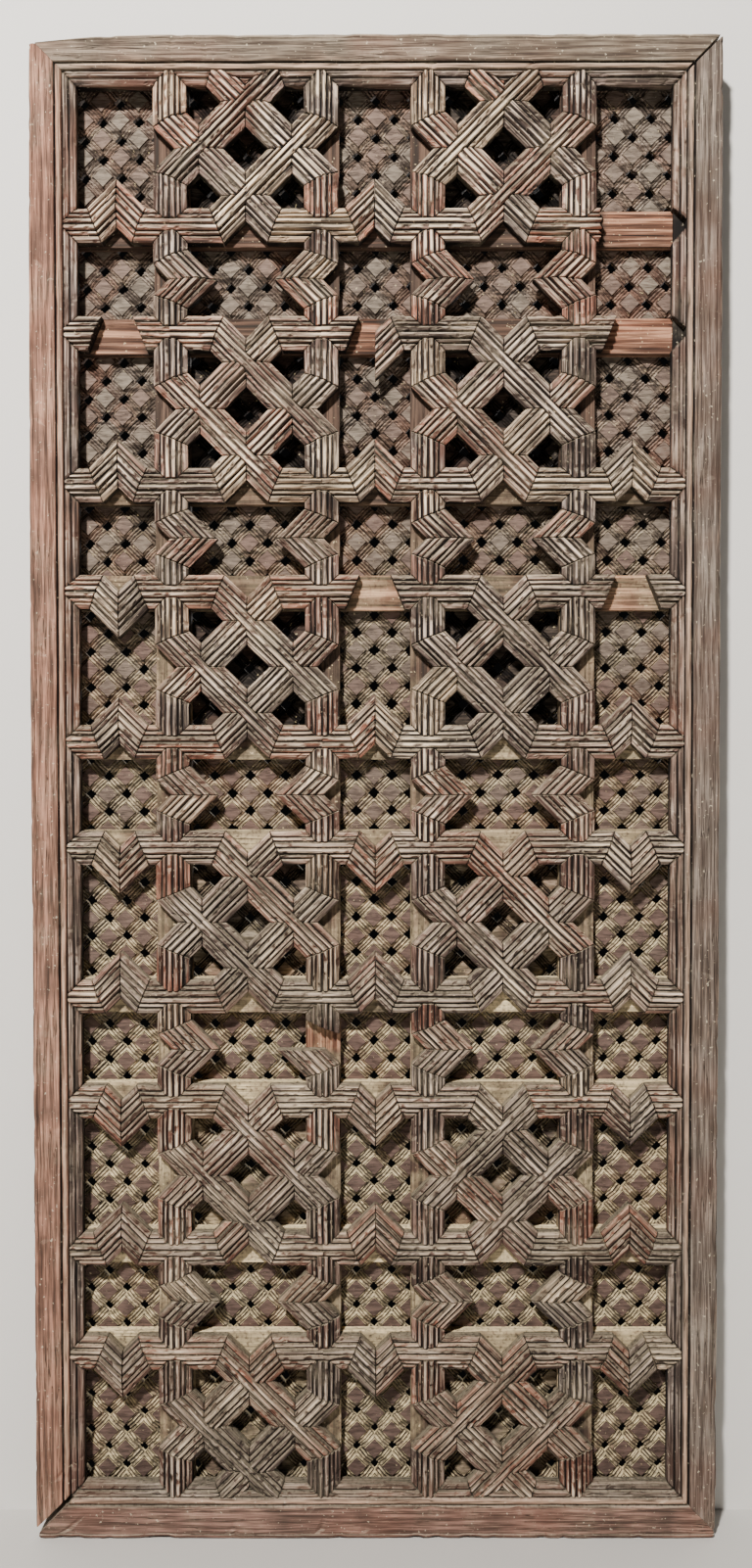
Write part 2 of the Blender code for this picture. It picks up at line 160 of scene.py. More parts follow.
def noise(points: np.ndarray, size: float, seed: int) -> np.ndarray:
    """Smooth repeatable noise.

    Args:
        points: n rows of three coordinates in metres.
        size: distance over which the noise changes, in metres.
        seed: picks one of many noises.

    Returns:
        n values from 0 to 1.
    """
    scaled = points / size
    cell = np.floor(scaled).astype(np.int64)
    part = scaled - cell
    part = part * part * (3 - 2 * part)
    total = np.zeros(len(points))
    for i in range(8):
        step = np.array([i & 1, i >> 1 & 1, i >> 2 & 1])
        corner = cell + step
        spread = corner * SCATTER
        mixed = spread[:, 0] ^ spread[:, 1] ^ spread[:, 2]
        mixed = (mixed ^ (seed * SEED_SCATTER)) & SCATTER_MASK
        mixed = (mixed ^ (mixed >> 13)) * LAST_SCATTER & SCATTER_MASK
        value = (mixed ^ (mixed >> 16)) / SCATTER_MASK
        total += value * np.prod(np.where(step, part, 1 - part), axis=1)
    return total


class Moulding:
    """Profile of a run of mouldings: offset across, height and how exposed to wear."""

    def __init__(self, rows: list[tuple[float, float, float]], mirrored: bool) -> None:
        """Take up a moulding's rows.

        Args:
            rows: offset in mm, height in mm and wear, from 0 in a groove to 1 on a ridge.
            mirrored: the rows are one half of a moulding whose other half is the same.
        """
        table = np.array(rows)
        if mirrored:
            table = np.vstack([table[:0:-1] * [-1, 1, 1], table])
        self.offset, self.height, self.wear = table[:, 0] * MM, table[:, 1] * MM, table[:, 2]


STRAP_MOULDING = Moulding([
    (0.0, 16.6, 0.0), (0.7, 16.9, 0.05), (1.3, 18.4, 0.4), (2.0, 19.5, 0.9), (3.2, 20.0, 1.0),
    (4.6, 19.7, 1.0), (5.6, 18.8, 0.8), (6.3, 17.2, 0.3), (7.0, 15.0, 0.0), (7.9, 14.9, 0.0),
    (8.5, 16.6, 0.4), (9.3, 17.7, 0.9), (10.2, 17.9, 1.0), (11.0, 17.2, 0.8), (11.6, 15.6, 0.3),
    (12.2, 13.6, 0.0), (13.1, 13.6, 0.0), (13.8, 15.1, 0.5), (14.8, 15.9, 0.9),
    (16.6, 15.3, 0.75), (18.6, 14.2, 0.8), (19.5, 13.4, 0.7), (19.75, 12.4, 0.25),
], mirrored=True)

BAND_MOULDING = Moulding([
    (4.1, 15.6, 0.0), (4.8, 16.6, 0.3), (5.5, 17.9, 0.9), (6.8, 18.0, 0.9), (7.6, 17.0, 0.4),
    (8.3, 17.7, 0.8), (9.6, 17.6, 0.9), (10.4, 16.4, 0.5), (11.3, 14.2, 0.0), (12.2, 14.2, 0.0),
    (13.0, 15.6, 0.6), (14.0, 15.9, 0.8), (16.5, 15.0, 0.7), (18.4, 14.0, 0.8),
    (19.2, 12.9, 0.6),
], mirrored=False)


class Pile:
    """Closed solids gathered into one mesh, with a grain map, a tone and a wear value."""

    FOOT_SHIFT = 0.02

    def __init__(self) -> None:
        """Start empty."""
        self.points: list[np.ndarray] = []
        self.grain: list[np.ndarray] = []
        self.tone: list[np.ndarray] = []
        self.wear: list[np.ndarray] = []
        self.faces: list[list[int]] = []
        self.count = 0

    def add(self, points: np.ndarray, grain: np.ndarray, tone: float,
            wear: np.ndarray) -> int:
        """Add loose points with their values.

        Args:
            points: n x 3 places.
            grain: n x 2 places along and across the grain.
            tone: the piece's own tone from 0 to 1.
            wear: n values, from 0 in a groove to 1 on a ridge.

        Returns:
            The number of the first point.
        """
        first = self.count
        self.points.append(points)
        self.grain.append(grain)
        self.tone.append(np.full(len(points), tone))
        self.wear.append(wear)
        self.count += len(points)
        return first

    def add_run(self, tops: np.ndarray, feet: np.ndarray, along: np.ndarray,
                across: np.ndarray, tone: float, wear: np.ndarray) -> None:
        """Add a moulded run that stands on flat feet.

        Args:
            tops: stations x profile x 3, the moulded face.
            feet: 2 x profile x 3, the flat underside at either end.
            along: stations x profile, distance along the grain.
            across: profile, distance across the grain.
            tone: the piece's own tone from 0 to 1.
            wear: stations x profile, from 0 in a groove to 1 on a ridge.
        """
        stations, width = tops.shape[:2]
        wide = np.broadcast_to(across, (stations, width))
        top = self.add(tops.reshape(-1, 3), np.stack([along, wide], -1).reshape(-1, 2), tone,
                       wear.reshape(-1))
        foot_grain = np.stack([along[[0, -1]], wide[:2] + self.FOOT_SHIFT],
                              -1).reshape(-1, 2)
        foot = self.add(feet.reshape(-1, 3), foot_grain, tone, np.zeros(2 * width))

        def at(station: int, place: int) -> int:
            """Number of a point on the moulded face."""
            return top + station * width + place

        for i in range(stations - 1):
            for j in range(width - 1):
                self.faces.append([at(i, j), at(i, j + 1), at(i + 1, j + 1), at(i + 1, j)])
        last = foot + width
        for j in range(width - 1):
            self.faces.append([at(0, j + 1), at(0, j), foot + j, foot + j + 1])
            self.faces.append([at(stations - 1, j), at(stations - 1, j + 1), last + j + 1,
                               last + j])
        self.faces.append([foot] + [at(i, 0) for i in range(stations)] + [last])
        self.faces.append([last + width - 1]
                          + [at(i, width - 1) for i in reversed(range(stations))]
                          + [foot + width - 1])
        self.faces.append([foot + j for j in reversed(range(width))]
                          + [last + j for j in range(width)])

    def mesh(self, name: str) -> bpy.types.Mesh:
        """Make the Blender mesh, with every solid's faces turned outwards.

        Args:
            name: the mesh's name.

        Returns:
            The mesh, with its grain map and its tone and wear attributes.
        """
        mesh = bpy.data.meshes.new(name)
        mesh.from_pydata(np.vstack(self.points).tolist(), [], self.faces)
        grain = np.vstack(self.grain)
        corners = np.empty(len(mesh.loops), dtype=np.int64)
        mesh.loops.foreach_get("vertex_index", corners)
        layer = mesh.uv_layers.new(name=Grain.ALONG_PIECE.value)
        layer.uv.foreach_set("vector", grain[corners].ravel())
        for label, values in (("tone", self.tone), ("wear", self.wear)):
            mesh.attributes.new(label, "FLOAT", "POINT").data.foreach_set(
                "value", np.concatenate(values))
        work = bmesh.new()
        work.from_mesh(mesh)
        bmesh.ops.recalc_face_normals(work, faces=work.faces)
        work.to_mesh(mesh)
        work.free()
        return mesh


def new_piece(name: str, mesh: bpy.types.Mesh, wood: bpy.types.Material,
              nodes: list[str]) -> bpy.types.Object:
    """Put a finished mesh in the scene in place of CAD nodes.

    Args:
        name: the piece's name.
        mesh: its mesh, in the CAD's frame.
        wood: its material, or None where the mesh has one.
        nodes: the CAD nodes that it stands for.

    Returns:
        The new object.
    """
    if wood is not None:
        mesh.materials.clear()
        mesh.materials.append(wood)
    piece = bpy.data.objects.new(name, mesh)
    bpy.context.scene.collection.objects.link(piece)
    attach(piece, "root")
    if nodes:
        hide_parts(*nodes)
    LOG.info("%s: %d faces", name, len(mesh.polygons))
    return piece


@dataclass(frozen=True)
class AgedWood:
    """Old, dry, unpolished wood, coloured by wear, grain, its own tone, cracks, dust and painted
    light and shade.

    Attributes:
        name: what the wood is and how it was worked.
        groove: hex colour of the old dirt in grooves and cracks, also painted as the shade in
            grooves and recesses.
        bodies: hex colours of the wood itself, laid out along a piece's tone.
        worn: hex colour of rubbed ridges, on the straps also a painted highlight along their
            crests.
        streak: hex colour of the dark streaks along the grain.
        dust: hex colour of dust and of pale specks.
        grain: where the direction of the grain comes from.
        grain_mm: width of a streak, drawn as coarse as it needs to show.
        grain_length_mm: length of a streak.
        dust_amount: how much of a dusty place the dust covers.
        tone_spread: how much a piece's own tone counts against the patches on it.
        roughness: roughness of the surface.
        bump_mm: height of the grain.
        crack_amount: how dark the checks along the grain are.
        patchy_dust: how much dust lies on faces that don't look up.
        dust_from: patch value from which it lies there.
        mottle: how much brighter and darker the wood turns along its grain.
        gain: brightness of the whole.
        streak_amount: strength of the dark streaks.
        painted_light_falloff: painted light falloff, how much darker than the middle the lowest
            rows are painted, and the top lighter.
        worn_from: exposure from which a ridge takes the rubbed colour, on the straps also a
            painted highlight.
        worn_too: hex colour of rubbed ridges on redder wood, on the straps also a painted
            highlight.
        tint: hex colour of broad stained places.
        tint_amount: strength of that stain.
        has_values: the mesh carries a tone and a wear.
        settles: dust lies in the lower rows only.
        covered: hex colour that darkens the wood outside its bare places.
        bare: lowest and highest x, lowest and highest z of each bare place.
    """

    name: str
    groove: str
    bodies: tuple[str, ...]
    worn: str
    streak: str
    dust: str
    grain: Grain
    grain_mm: float = 1.1
    grain_length_mm: float = 45.0
    dust_amount: float = 0.5
    tone_spread: float = 0.5
    roughness: float = 0.82
    bump_mm: float = 0.45
    crack_amount: float = 0.7
    patchy_dust: float = 0.6
    dust_from: float = 0.5
    mottle: float = 0.3
    gain: float = 0.87
    streak_amount: float = 1.0
    painted_light_falloff: float = 0.0
    worn_from: float = 1.2
    worn_too: str = ""
    tint: str = "#85503d"
    tint_amount: float = 0.45
    has_values: bool = True
    settles: bool = False
    covered: str = ""
    bare: tuple[tuple[float, float, float, float], ...] = ()

    # Real sizes of the patterns that don't follow the grain
    PATCH_MM = 45.4545
    SPECK_MM = 3.84615
    STAIN_MM = 142.857
    BOARD_PATCH_MM = 200.0

    # How much finer the streaks are than the broad bands of the grain, and the wood's gloss
    BAND_SCALE = 0.33
    GLOSS = 0.22

    # From which value of a pattern an effect begins, and at which it is in full
    BAND_DARK = (0.56, 0.36)
    STREAK_DARK = (0.54, 0.38)
    PATCH_DARK = (0.5, 0.3)
    STAINED = (0.5, 0.66)
    REDDER = (0.35, 0.65)
    OUT_OF_GROOVE = (0.02, 0.38)
    ON_CARVING = (0.1, 0.5)
    OFF_FLATS = (0.97, 0.8)
    PALE_SPECK = (0.68, 0.74)
    UNCARVED_WEAR = (0.3, 0.6)
    CRACK = (0.016, 0.004)
    CRACKED_PLACE = (0.48, 0.58)
    PATCH_TONE = (0.3, 0.7)
    LEDGE = (0.1, 0.7)
    SPECKLED = (0.2, 0.5)
    DUSTY_HEIGHT = (1.3, 0.55)
    MOTTLE_RANGE = (0.66, 1.04)
    # Heights between which the painted light falloff runs, from darkest to lightest
    PAINTED_FALLOFF_HEIGHTS = (0.1, 1.6)

    # Shares of one pattern or colour in a mixture
    STREAK_SHARE = 0.8
    PATCH_SHARE = 0.6
    COVERED_SHARE = 0.8
    SPECK_SHARE = 0.5
    DUST_RISE = 0.3
    RUBBED_STREAKS = 0.9
    RUBBED_RISE = 0.4
    LOW_RED = 0.7
    CRACK_MIDDLE = 0.47
    CRACK_DEPTH = -1.4
    BARE_BLUR = 0.004
    BARE_RAGGED = (0.6, 0.7)
    FINE_MOTTLE = 0.7

    def grain_vector(self, tree: bpy.types.NodeTree) -> bpy.types.NodeSocket:
        """Lay coordinates along the grain.

        Args:
            tree: the material's tree.

        Returns:
            Coordinates in which the grain's streaks are one unit wide and one unit long.
        """
        fine, long = 1 / (self.grain_mm * MM), 1 / (self.grain_length_mm * MM)
        if self.grain is Grain.ALONG_PIECE:
            source = add_node(tree, "ShaderNodeUVMap", {"uv_map": self.grain.value})
            scale, socket = (long, fine, 1.0), source.outputs["UV"]
        else:
            source = add_node(tree, "ShaderNodeTexCoord")
            scale = (long, fine, fine) if self.grain is Grain.ALONG_X else (fine, fine, long)
            socket = source.outputs["Object"]
        mapping = add_node(tree, "ShaderNodeMapping", {"Scale": scale}, {"Vector": socket})
        return mapping.outputs["Vector"]

    def build(self) -> bpy.types.Material:
        """Make the material.

        Returns:
            A node material that reads the wear, tone and grain of the piece it is on.
        """
        material = bpy.data.materials.new(self.name)
        material.use_nodes = True
        tree = material.node_tree
        shader = tree.nodes["Principled BSDF"]
        shader.inputs["Roughness"].default_value = self.roughness
        shader.inputs["Specular IOR Level"].default_value = self.GLOSS
        place = add_node(tree, "ShaderNodeTexCoord").outputs["Object"]
        along = self.grain_vector(tree)
        streaks = self.texture(tree, along, 1.0, 3.0)
        bands = self.texture(tree, along, self.BAND_SCALE, 2.0)
        patches = self.texture(tree, place, 1 / (self.PATCH_MM * MM), 4.0)
        specks = self.texture(tree, place, 1 / (self.SPECK_MM * MM), 2.0)
        cracked = self.cracks(tree, bands, patches)
        tone = self.tone(tree, place, patches)
        shade = self.stained(tree, tone, place, bands, streaks, patches)
        shade = self.weathered(tree, shade, tone, place, bands, streaks)
        shade = self.dusted(tree, shade, place, patches, specks)
        shade = self.mottled(tree, shade, place, bands, streaks)
        pale = self.scaled(tree, self.ramp(tree, specks, *self.PALE_SPECK), self.SPECK_SHARE)
        shade = self.mix(tree, pale, shade, self.dust)
        shade = self.mix(tree, cracked, shade, self.groove)
        tree.links.new(shade, shader.inputs["Base Color"])
        rough = self.multiply_add(tree, specks, self.SPECK_SHARE, streaks)
        height = self.multiply_add(tree, cracked, self.CRACK_DEPTH, rough)
        bump = add_node(tree, "ShaderNodeBump", {"Strength": 1.0,
                                                 "Distance": self.bump_mm * MM},
                        {"Height": height})
        tree.links.new(bump.outputs["Normal"], shader.inputs["Normal"])
        return material

    def stained(self, tree: bpy.types.NodeTree, tone: bpy.types.NodeSocket,
                place: bpy.types.NodeSocket, bands: bpy.types.NodeSocket,
                streaks: bpy.types.NodeSocket,
                patches: bpy.types.NodeSocket) -> bpy.types.NodeSocket:
        """Colour the wood itself, before any wear.

        Args:
            tree: the material's tree.
            tone: the piece's tone.
            place: object coordinates.
            bands: broad pattern along the grain.
            streaks: fine pattern along the grain.
            patches: pattern that doesn't follow the grain.

        Returns:
            The body colours with dark streaks, dark patches and broad stains.
        """
        shade = self.palette(tree, tone)
        for pattern, dark_at, share in ((bands, self.BAND_DARK, 1.0),
                                        (streaks, self.STREAK_DARK, self.STREAK_SHARE)):
            dark = self.scaled(tree, self.ramp(tree, pattern, *dark_at),
                               share * self.streak_amount)
            shade = self.mix(tree, dark, shade, self.streak)
        dark = self.scaled(tree, self.ramp(tree, patches, *self.PATCH_DARK), self.PATCH_SHARE)
        shade = self.mix(tree, dark, shade, self.streak)
        stain = self.ramp(tree, self.texture(tree, place, 1 / (self.STAIN_MM * MM), 2.0),
                          *self.STAINED)
        return self.mix(tree, self.scaled(tree, stain, self.tint_amount), shade, self.tint)

    def weathered(self, tree: bpy.types.NodeTree, shade: bpy.types.NodeSocket,
                  tone: bpy.types.NodeSocket, place: bpy.types.NodeSocket,
                  bands: bpy.types.NodeSocket,
                  streaks: bpy.types.NodeSocket) -> bpy.types.NodeSocket:
        """Darken the grooves with dirt and painted shade, rub the ridges pale, on the straps with
        a painted highlight too, and darken the wood outside its bare places.

        Args:
            tree: the material's tree.
            shade: the wood's own colour.
            tone: the piece's tone.
            place: object coordinates.
            bands: broad pattern along the grain.
            streaks: fine pattern along the grain.

        Returns:
            The worn colour.
        """
        wear = self.ramp(tree, bands, *self.UNCARVED_WEAR)
        if self.has_values:
            wear = self.value(tree, "wear")
        redder = self.ramp(tree, tone, *self.REDDER)
        if self.settles and self.has_values:
            redder = self.multiply_add(tree, redder, self.LOW_RED, self.low_down(tree, place))
        worn = self.mix(tree, redder, self.worn, self.worn_too or self.worn)
        exposed = self.multiply_add(tree, streaks, self.RUBBED_STREAKS, wear)
        # Painted shade: low wear, in grooves, cuts and recesses, takes the groove colour, as dirt
        # and as the shade there
        shade = self.mix(tree, self.ramp(tree, wear, *self.OUT_OF_GROOVE), self.groove, shade)
        # Painted highlight: the rubbed colour on the most exposed ridges is wear, and on the
        # straps also a highlight painted along the crests
        rubbed = self.ramp(tree, exposed, self.worn_from, self.worn_from + self.RUBBED_RISE)
        shade = self.mix(tree, rubbed, shade, worn)
        if not self.bare:
            return shade
        hidden = add_node(tree, "ShaderNodeMath", {"operation": "SUBTRACT", 0: 1.0},
                          {1: self.bareness(tree, place, streaks)}).outputs[0]
        return self.mix(tree, self.scaled(tree, hidden, self.COVERED_SHARE), shade, self.covered)

    def texture(self, tree: bpy.types.NodeTree, vector: bpy.types.NodeSocket, scale: float,
                detail: float) -> bpy.types.NodeSocket:
        """A noise pattern on the given coordinates."""
        return add_node(tree, "ShaderNodeTexNoise", {"Scale": scale, "Detail": detail},
                        {"Vector": vector}).outputs["Fac"]

    def value(self, tree: bpy.types.NodeTree, name: str) -> bpy.types.NodeSocket:
        """A value that the piece carries."""
        return add_node(tree, "ShaderNodeAttribute", {"attribute_name": name}).outputs["Fac"]

    def scaled(self, tree: bpy.types.NodeTree, value: bpy.types.NodeSocket,
               factor: object) -> bpy.types.NodeSocket:
        """Multiply a value.

        Args:
            tree: the material's tree.
            value: the value.
            factor: a number or another value.

        Returns:
            The product.
        """
        given = {1: factor} if isinstance(factor, float) else {}
        links = {0: value} if given else {0: value, 1: factor}
        return add_node(tree, "ShaderNodeMath", {"operation": "MULTIPLY", **given},
                        links).outputs[0]

    def multiply_add(self, tree: bpy.types.NodeTree, value: bpy.types.NodeSocket,
                     factor: float, more: bpy.types.NodeSocket) -> bpy.types.NodeSocket:
        """The value times a number, plus another value."""
        return add_node(tree, "ShaderNodeMath", {"operation": "MULTIPLY_ADD", 1: factor},
                        {0: value, 2: more}).outputs[0]

    def cracks(self, tree: bpy.types.NodeTree, bands: bpy.types.NodeSocket,
               patches: bpy.types.NodeSocket) -> bpy.types.NodeSocket:
        """Draw thin dark checks along the grain, in some places only.

        Args:
            tree: the material's tree.
            bands: broad pattern along the grain.
            patches: pattern that picks the places.

        Returns:
            How dark each place is with cracks.
        """
        middle = add_node(tree, "ShaderNodeMath", {"operation": "SUBTRACT", 1: self.CRACK_MIDDLE},
                          {0: bands}).outputs[0]
        apart = add_node(tree, "ShaderNodeMath", {"operation": "ABSOLUTE"}, {0: middle}).outputs[0]
        thin = self.ramp(tree, apart, *self.CRACK)
        some = self.ramp(tree, patches, *self.CRACKED_PLACE)
        return self.scaled(tree, self.scaled(tree, thin, some), self.crack_amount)

    def bareness(self, tree: bpy.types.NodeTree, place: bpy.types.NodeSocket,
                 streaks: bpy.types.NodeSocket) -> bpy.types.NodeSocket:
        """Find where a lost strap has laid the wood bare.

        Args:
            tree: the material's tree.
            place: object coordinates.
            streaks: fine pattern along the grain, which makes the edges ragged.

        Returns:
            1 at the bare places and 0 elsewhere.
        """
        split = add_node(tree, "ShaderNodeSeparateXYZ", {}, {0: place}).outputs
        spread, least = self.BARE_RAGGED
        ragged = add_node(tree, "ShaderNodeMath",
                          {"operation": "MULTIPLY_ADD", 1: spread, 2: least},
                          {0: streaks}).outputs[0]
        most = None
        for left, right, low, high in self.bare:
            inside = ragged
            for axis, first, last in (("X", left, right), ("Z", low, high)):
                middle, half = (first + last) / 2, (last - first) / 2
                apart = add_node(tree, "ShaderNodeMath", {"operation": "SUBTRACT", 1: middle},
                                 {0: split[axis]}).outputs[0]
                apart = add_node(tree, "ShaderNodeMath", {"operation": "ABSOLUTE"},
                                 {0: apart}).outputs[0]
                near = self.ramp(tree, apart, half + self.BARE_BLUR, half - self.BARE_BLUR)
                inside = self.scaled(tree, inside, near)
            most = inside if most is None else add_node(
                tree, "ShaderNodeMath", {"operation": "MAXIMUM"}, {0: most, 1: inside}).outputs[0]
        return add_node(tree, "ShaderNodeMath", {"operation": "MINIMUM", 1: 1.0},
                        {0: most}).outputs[0]

    def palette(self, tree: bpy.types.NodeTree,
                value: bpy.types.NodeSocket) -> bpy.types.NodeSocket:
        """Lay the body colours out along a value.

        Args:
            tree: the material's tree.
            value: from 0, the first colour, to 1, the last.

        Returns:
            The colour at that value.
        """
        node = add_node(tree, "ShaderNodeValToRGB", {}, {"Fac": value})
        stops = node.color_ramp.elements
        last = len(self.bodies) - 1
        for i in range(1, last):
            stops.new(i / last)
        for stop, code in zip(stops, self.bodies):
            stop.color = linear(code)
        return node.outputs["Color"]

    def tone(self, tree: bpy.types.NodeTree, place: bpy.types.NodeSocket,
             patches: bpy.types.NodeSocket) -> bpy.types.NodeSocket:
        """Give the wood's tone at each place.

        Args:
            tree: the material's tree.
            place: object coordinates.
            patches: pattern that changes a piece's own tone a little.

        Returns:
            The tone from 0 to 1.
        """
        if not self.has_values:
            wide = self.texture(tree, place, 1 / (self.BOARD_PATCH_MM * MM), 1.0)
            return self.ramp(tree, wide, *self.PATCH_TONE)
        return add_node(tree, "ShaderNodeMix", {"data_type": "FLOAT",
                                                "Factor": 1 - self.tone_spread},
                        {2: self.value(tree, "tone"),
                         3: self.ramp(tree, patches, *self.PATCH_TONE)}).outputs[0]

    def dusted(self, tree: bpy.types.NodeTree, shade: bpy.types.NodeSocket,
               place: bpy.types.NodeSocket, patches: bpy.types.NodeSocket,
               specks: bpy.types.NodeSocket) -> bpy.types.NodeSocket:
        """Lay pale dust on the wood: most on ledges that face up, and low down.

        Args:
            tree: the material's tree.
            shade: the colour so far.
            place: object coordinates.
            patches: pattern of the dust on other faces.
            specks: fine pattern that breaks the dust up.

        Returns:
            The dusty colour.
        """
        normal = add_node(tree, "ShaderNodeNewGeometry").outputs["Normal"]
        up = add_node(tree, "ShaderNodeSeparateXYZ", {}, {0: normal}).outputs["Z"]
        patchy = self.scaled(tree, self.ramp(tree, patches, self.dust_from,
                                             self.dust_from + self.DUST_RISE), self.patchy_dust)
        most = add_node(tree, "ShaderNodeMath", {"operation": "MAXIMUM"},
                        {0: self.ramp(tree, up, *self.LEDGE), 1: patchy}).outputs[0]
        speckled = self.scaled(tree, most, self.ramp(tree, specks, *self.SPECKLED))
        amount = self.scaled(tree, speckled, self.dust_amount)
        if self.settles:
            amount = self.scaled(tree, amount, self.low_down(tree, place))
        if self.settles and self.has_values:
            wear = self.value(tree, "wear")
            for zone in (self.ON_CARVING, self.OFF_FLATS):
                amount = self.scaled(tree, amount, self.ramp(tree, wear, *zone))
        return self.mix(tree, amount, shade, self.dust)

    def low_down(self, tree: bpy.types.NodeTree,
                 place: bpy.types.NodeSocket) -> bpy.types.NodeSocket:
        """1 in the screen's lower rows, where dust settles, and 0 in its upper rows."""
        height = add_node(tree, "ShaderNodeSeparateXYZ", {}, {0: place}).outputs["Z"]
        return self.ramp(tree, height, *self.DUSTY_HEIGHT)

    def mottled(self, tree: bpy.types.NodeTree, shade: bpy.types.NodeSocket,
                place: bpy.types.NodeSocket, bands: bpy.types.NodeSocket,
                streaks: bpy.types.NodeSocket) -> bpy.types.NodeSocket:
        """Make the colour lighter and darker along the grain, as weather and hands leave it.

        Args:
            tree: the material's tree.
            shade: the colour so far.
            place: object coordinates.
            bands: broad pattern along the grain.
            streaks: fine pattern along the grain.

        Returns:
            The mottled colour, with painted light that falls off downwards: darker in the lowest
            rows and lighter at the top.
        """
        both = self.multiply_add(tree, streaks, self.FINE_MOTTLE, bands)
        brightness = self.ramp(tree, both, *self.MOTTLE_RANGE, self.gain * (1 - self.mottle),
                               self.gain * (1 + self.mottle))
        # Painted light falloff: the colour is scaled down in the lowest rows and up at the top
        height = add_node(tree, "ShaderNodeSeparateXYZ", {}, {0: place}).outputs["Z"]
        painted_falloff = self.ramp(tree, height, *self.PAINTED_FALLOFF_HEIGHTS, 1 - self.painted_light_falloff,
                            1 + self.painted_light_falloff)
        return add_node(tree, "ShaderNodeVectorMath", {"operation": "SCALE"},
                        {0: shade, "Scale": self.scaled(tree, brightness, painted_falloff)}).outputs[0]

    def ramp(self, tree: bpy.types.NodeTree, value: bpy.types.NodeSocket, low: float,
             high: float, least: float = 0.0, most: float = 1.0) -> bpy.types.NodeSocket:
        """Stretch a value, with what lies outside cut off.

        Args:
            tree: the material's tree.
            value: the value.
            low: where the result is least.
            high: where the result is most.
            least: the result at low.
            most: the result at high.

        Returns:
            The stretched value.
        """
        return add_node(tree, "ShaderNodeMapRange", {"From Min": low, "From Max": high,
                                                     "To Min": least, "To Max": most},
                        {"Value": value}).outputs[0]

    def mix(self, tree: bpy.types.NodeTree, factor: object, first: object,
            second: object) -> bpy.types.NodeSocket:
        """Mix two colours.

        Args:
            tree: the material's tree.
            factor: share of the second, a number or a socket.
            first: a hex code or a socket.
            second: a hex code or a socket.

        Returns:
            The mixed colour.
        """
        settings, links = {"data_type": "RGBA"}, {}
        for key, value in (("Factor", factor), (6, first), (7, second)):
            if isinstance(value, str):
                settings[key] = linear(value)
            elif isinstance(value, float):
                settings[key] = value
            else:
                links[key] = value
        return add_node(tree, "ShaderNodeMix", settings, links).outputs[2]


# Moulded hardwood straps, scraped with a moulding plane and never varnished: black dirt and
# painted shade in the grooves, each strap its own grey, red or yellow brown, and pale, rubbed
# ridges with a painted highlight along their crests.
STRAP_WOOD = AgedWood("strap_hardwood_moulded", groove="#100c0a",
                      bodies=("#4b3f38", "#7a695f", "#925f4c", "#776c65", "#a68b6e"),
                      worn="#d2bda9", worn_too="#e6d0b2", streak="#382d27", dust="#d6c6a8",
                      grain=Grain.ALONG_PIECE, grain_mm=1.4, grain_length_mm=40.0,
                      dust_amount=0.4, tone_spread=0.9, tint_amount=0.3, mottle=0.45,
                      worn_from=1.25, painted_light_falloff=0.22)

# The same moulding on the frame's own band, a little darker from hands and smoke.
BAND_WOOD = AgedWood("band_hardwood_moulded", groove="#100c0a",
                     bodies=("#5a4f48", "#776961", "#846858", "#726861"), worn="#b5a393",
                     streak="#3a302a", dust="#c9bba0", grain=Grain.ALONG_PIECE, grain_mm=1.4,
                     dust_amount=0.35, tone_spread=0.85, tint_amount=0.3, mottle=0.4,
                     painted_light_falloff=0.15)

# Planed hardwood rails with an old oil finish gone dull: grey to reddish brown, long streaks.
FRAME_WOOD = AgedWood("frame_hardwood_planed", groove="#130e0c",
                      bodies=("#7c6f5e", "#726760", "#84665a", "#a37661"), worn="#b8987f",
                      streak="#4a3b32", dust="#dccfb3", grain=Grain.ALONG_PIECE, grain_mm=1.5,
                      grain_length_mm=38.0, dust_amount=0.3, tone_spread=0.85,
                      tint_amount=0.2, mottle=0.4, worn_from=1.14, streak_amount=0.6)

# Carved laths, the least cleaned of all: grey brown, redder on the flats low down, dirt and
# painted shade in the cuts and pale dust that has settled on the carved arms of the lower rows.
LATH_WOOD = AgedWood("lath_wood_carved", groove="#0c0806",
                     bodies=("#7b7065", "#8b7f72", "#856c5d", "#978a78"), worn="#71675b",
                     worn_too="#66524a", streak="#453b33", dust="#f3dfae", grain=Grain.ALONG_X,
                     grain_mm=1.5, grain_length_mm=9.0, dust_amount=0.88, tone_spread=0.8,
                     settles=True, patchy_dust=0.5, dust_from=0.38, crack_amount=0.4,
                     tint_amount=0.3, mottle=0.35, worn_from=1.1,
                     painted_light_falloff=0.2)


def bare_patches() -> tuple[tuple[float, float, float, float], ...]:
    """Work out where the boards are bare, from the lengths of strap that are lost.

    Returns:
        Lowest and highest x, lowest and highest z of each place.
    """
    patches = []
    for (row, column, side), lost in LOST.items():
        x = (COLUMNS[2 * column] + COLUMNS[2 * column + 1]) / 2
        line = 2 * (SHORT_ROWS - row) - 1
        z = (ROWS[line] + ROWS[line + 1]) / 2
        stops = [-NARROW / 2, -CHEVRON_REACH, 0.0, CHEVRON_REACH, NARROW / 2]
        low, high = stops[lost[0]] - MARK_OVERRUN, stops[lost[-1] + 1] + MARK_OVERRUN
        if side in ("top", "bottom"):
            level = z + (NARROW / 2 if side == "top" else -NARROW / 2)
            patches.append((x + low, x + high, level - MARK_HALF_WIDTH, level + MARK_HALF_WIDTH))
        else:
            place = x + (NARROW / 2 if side == "right" else -NARROW / 2)
            patches.append((place - MARK_HALF_WIDTH, place + MARK_HALF_WIDTH, z + low, z + high))
    return tuple(patches)


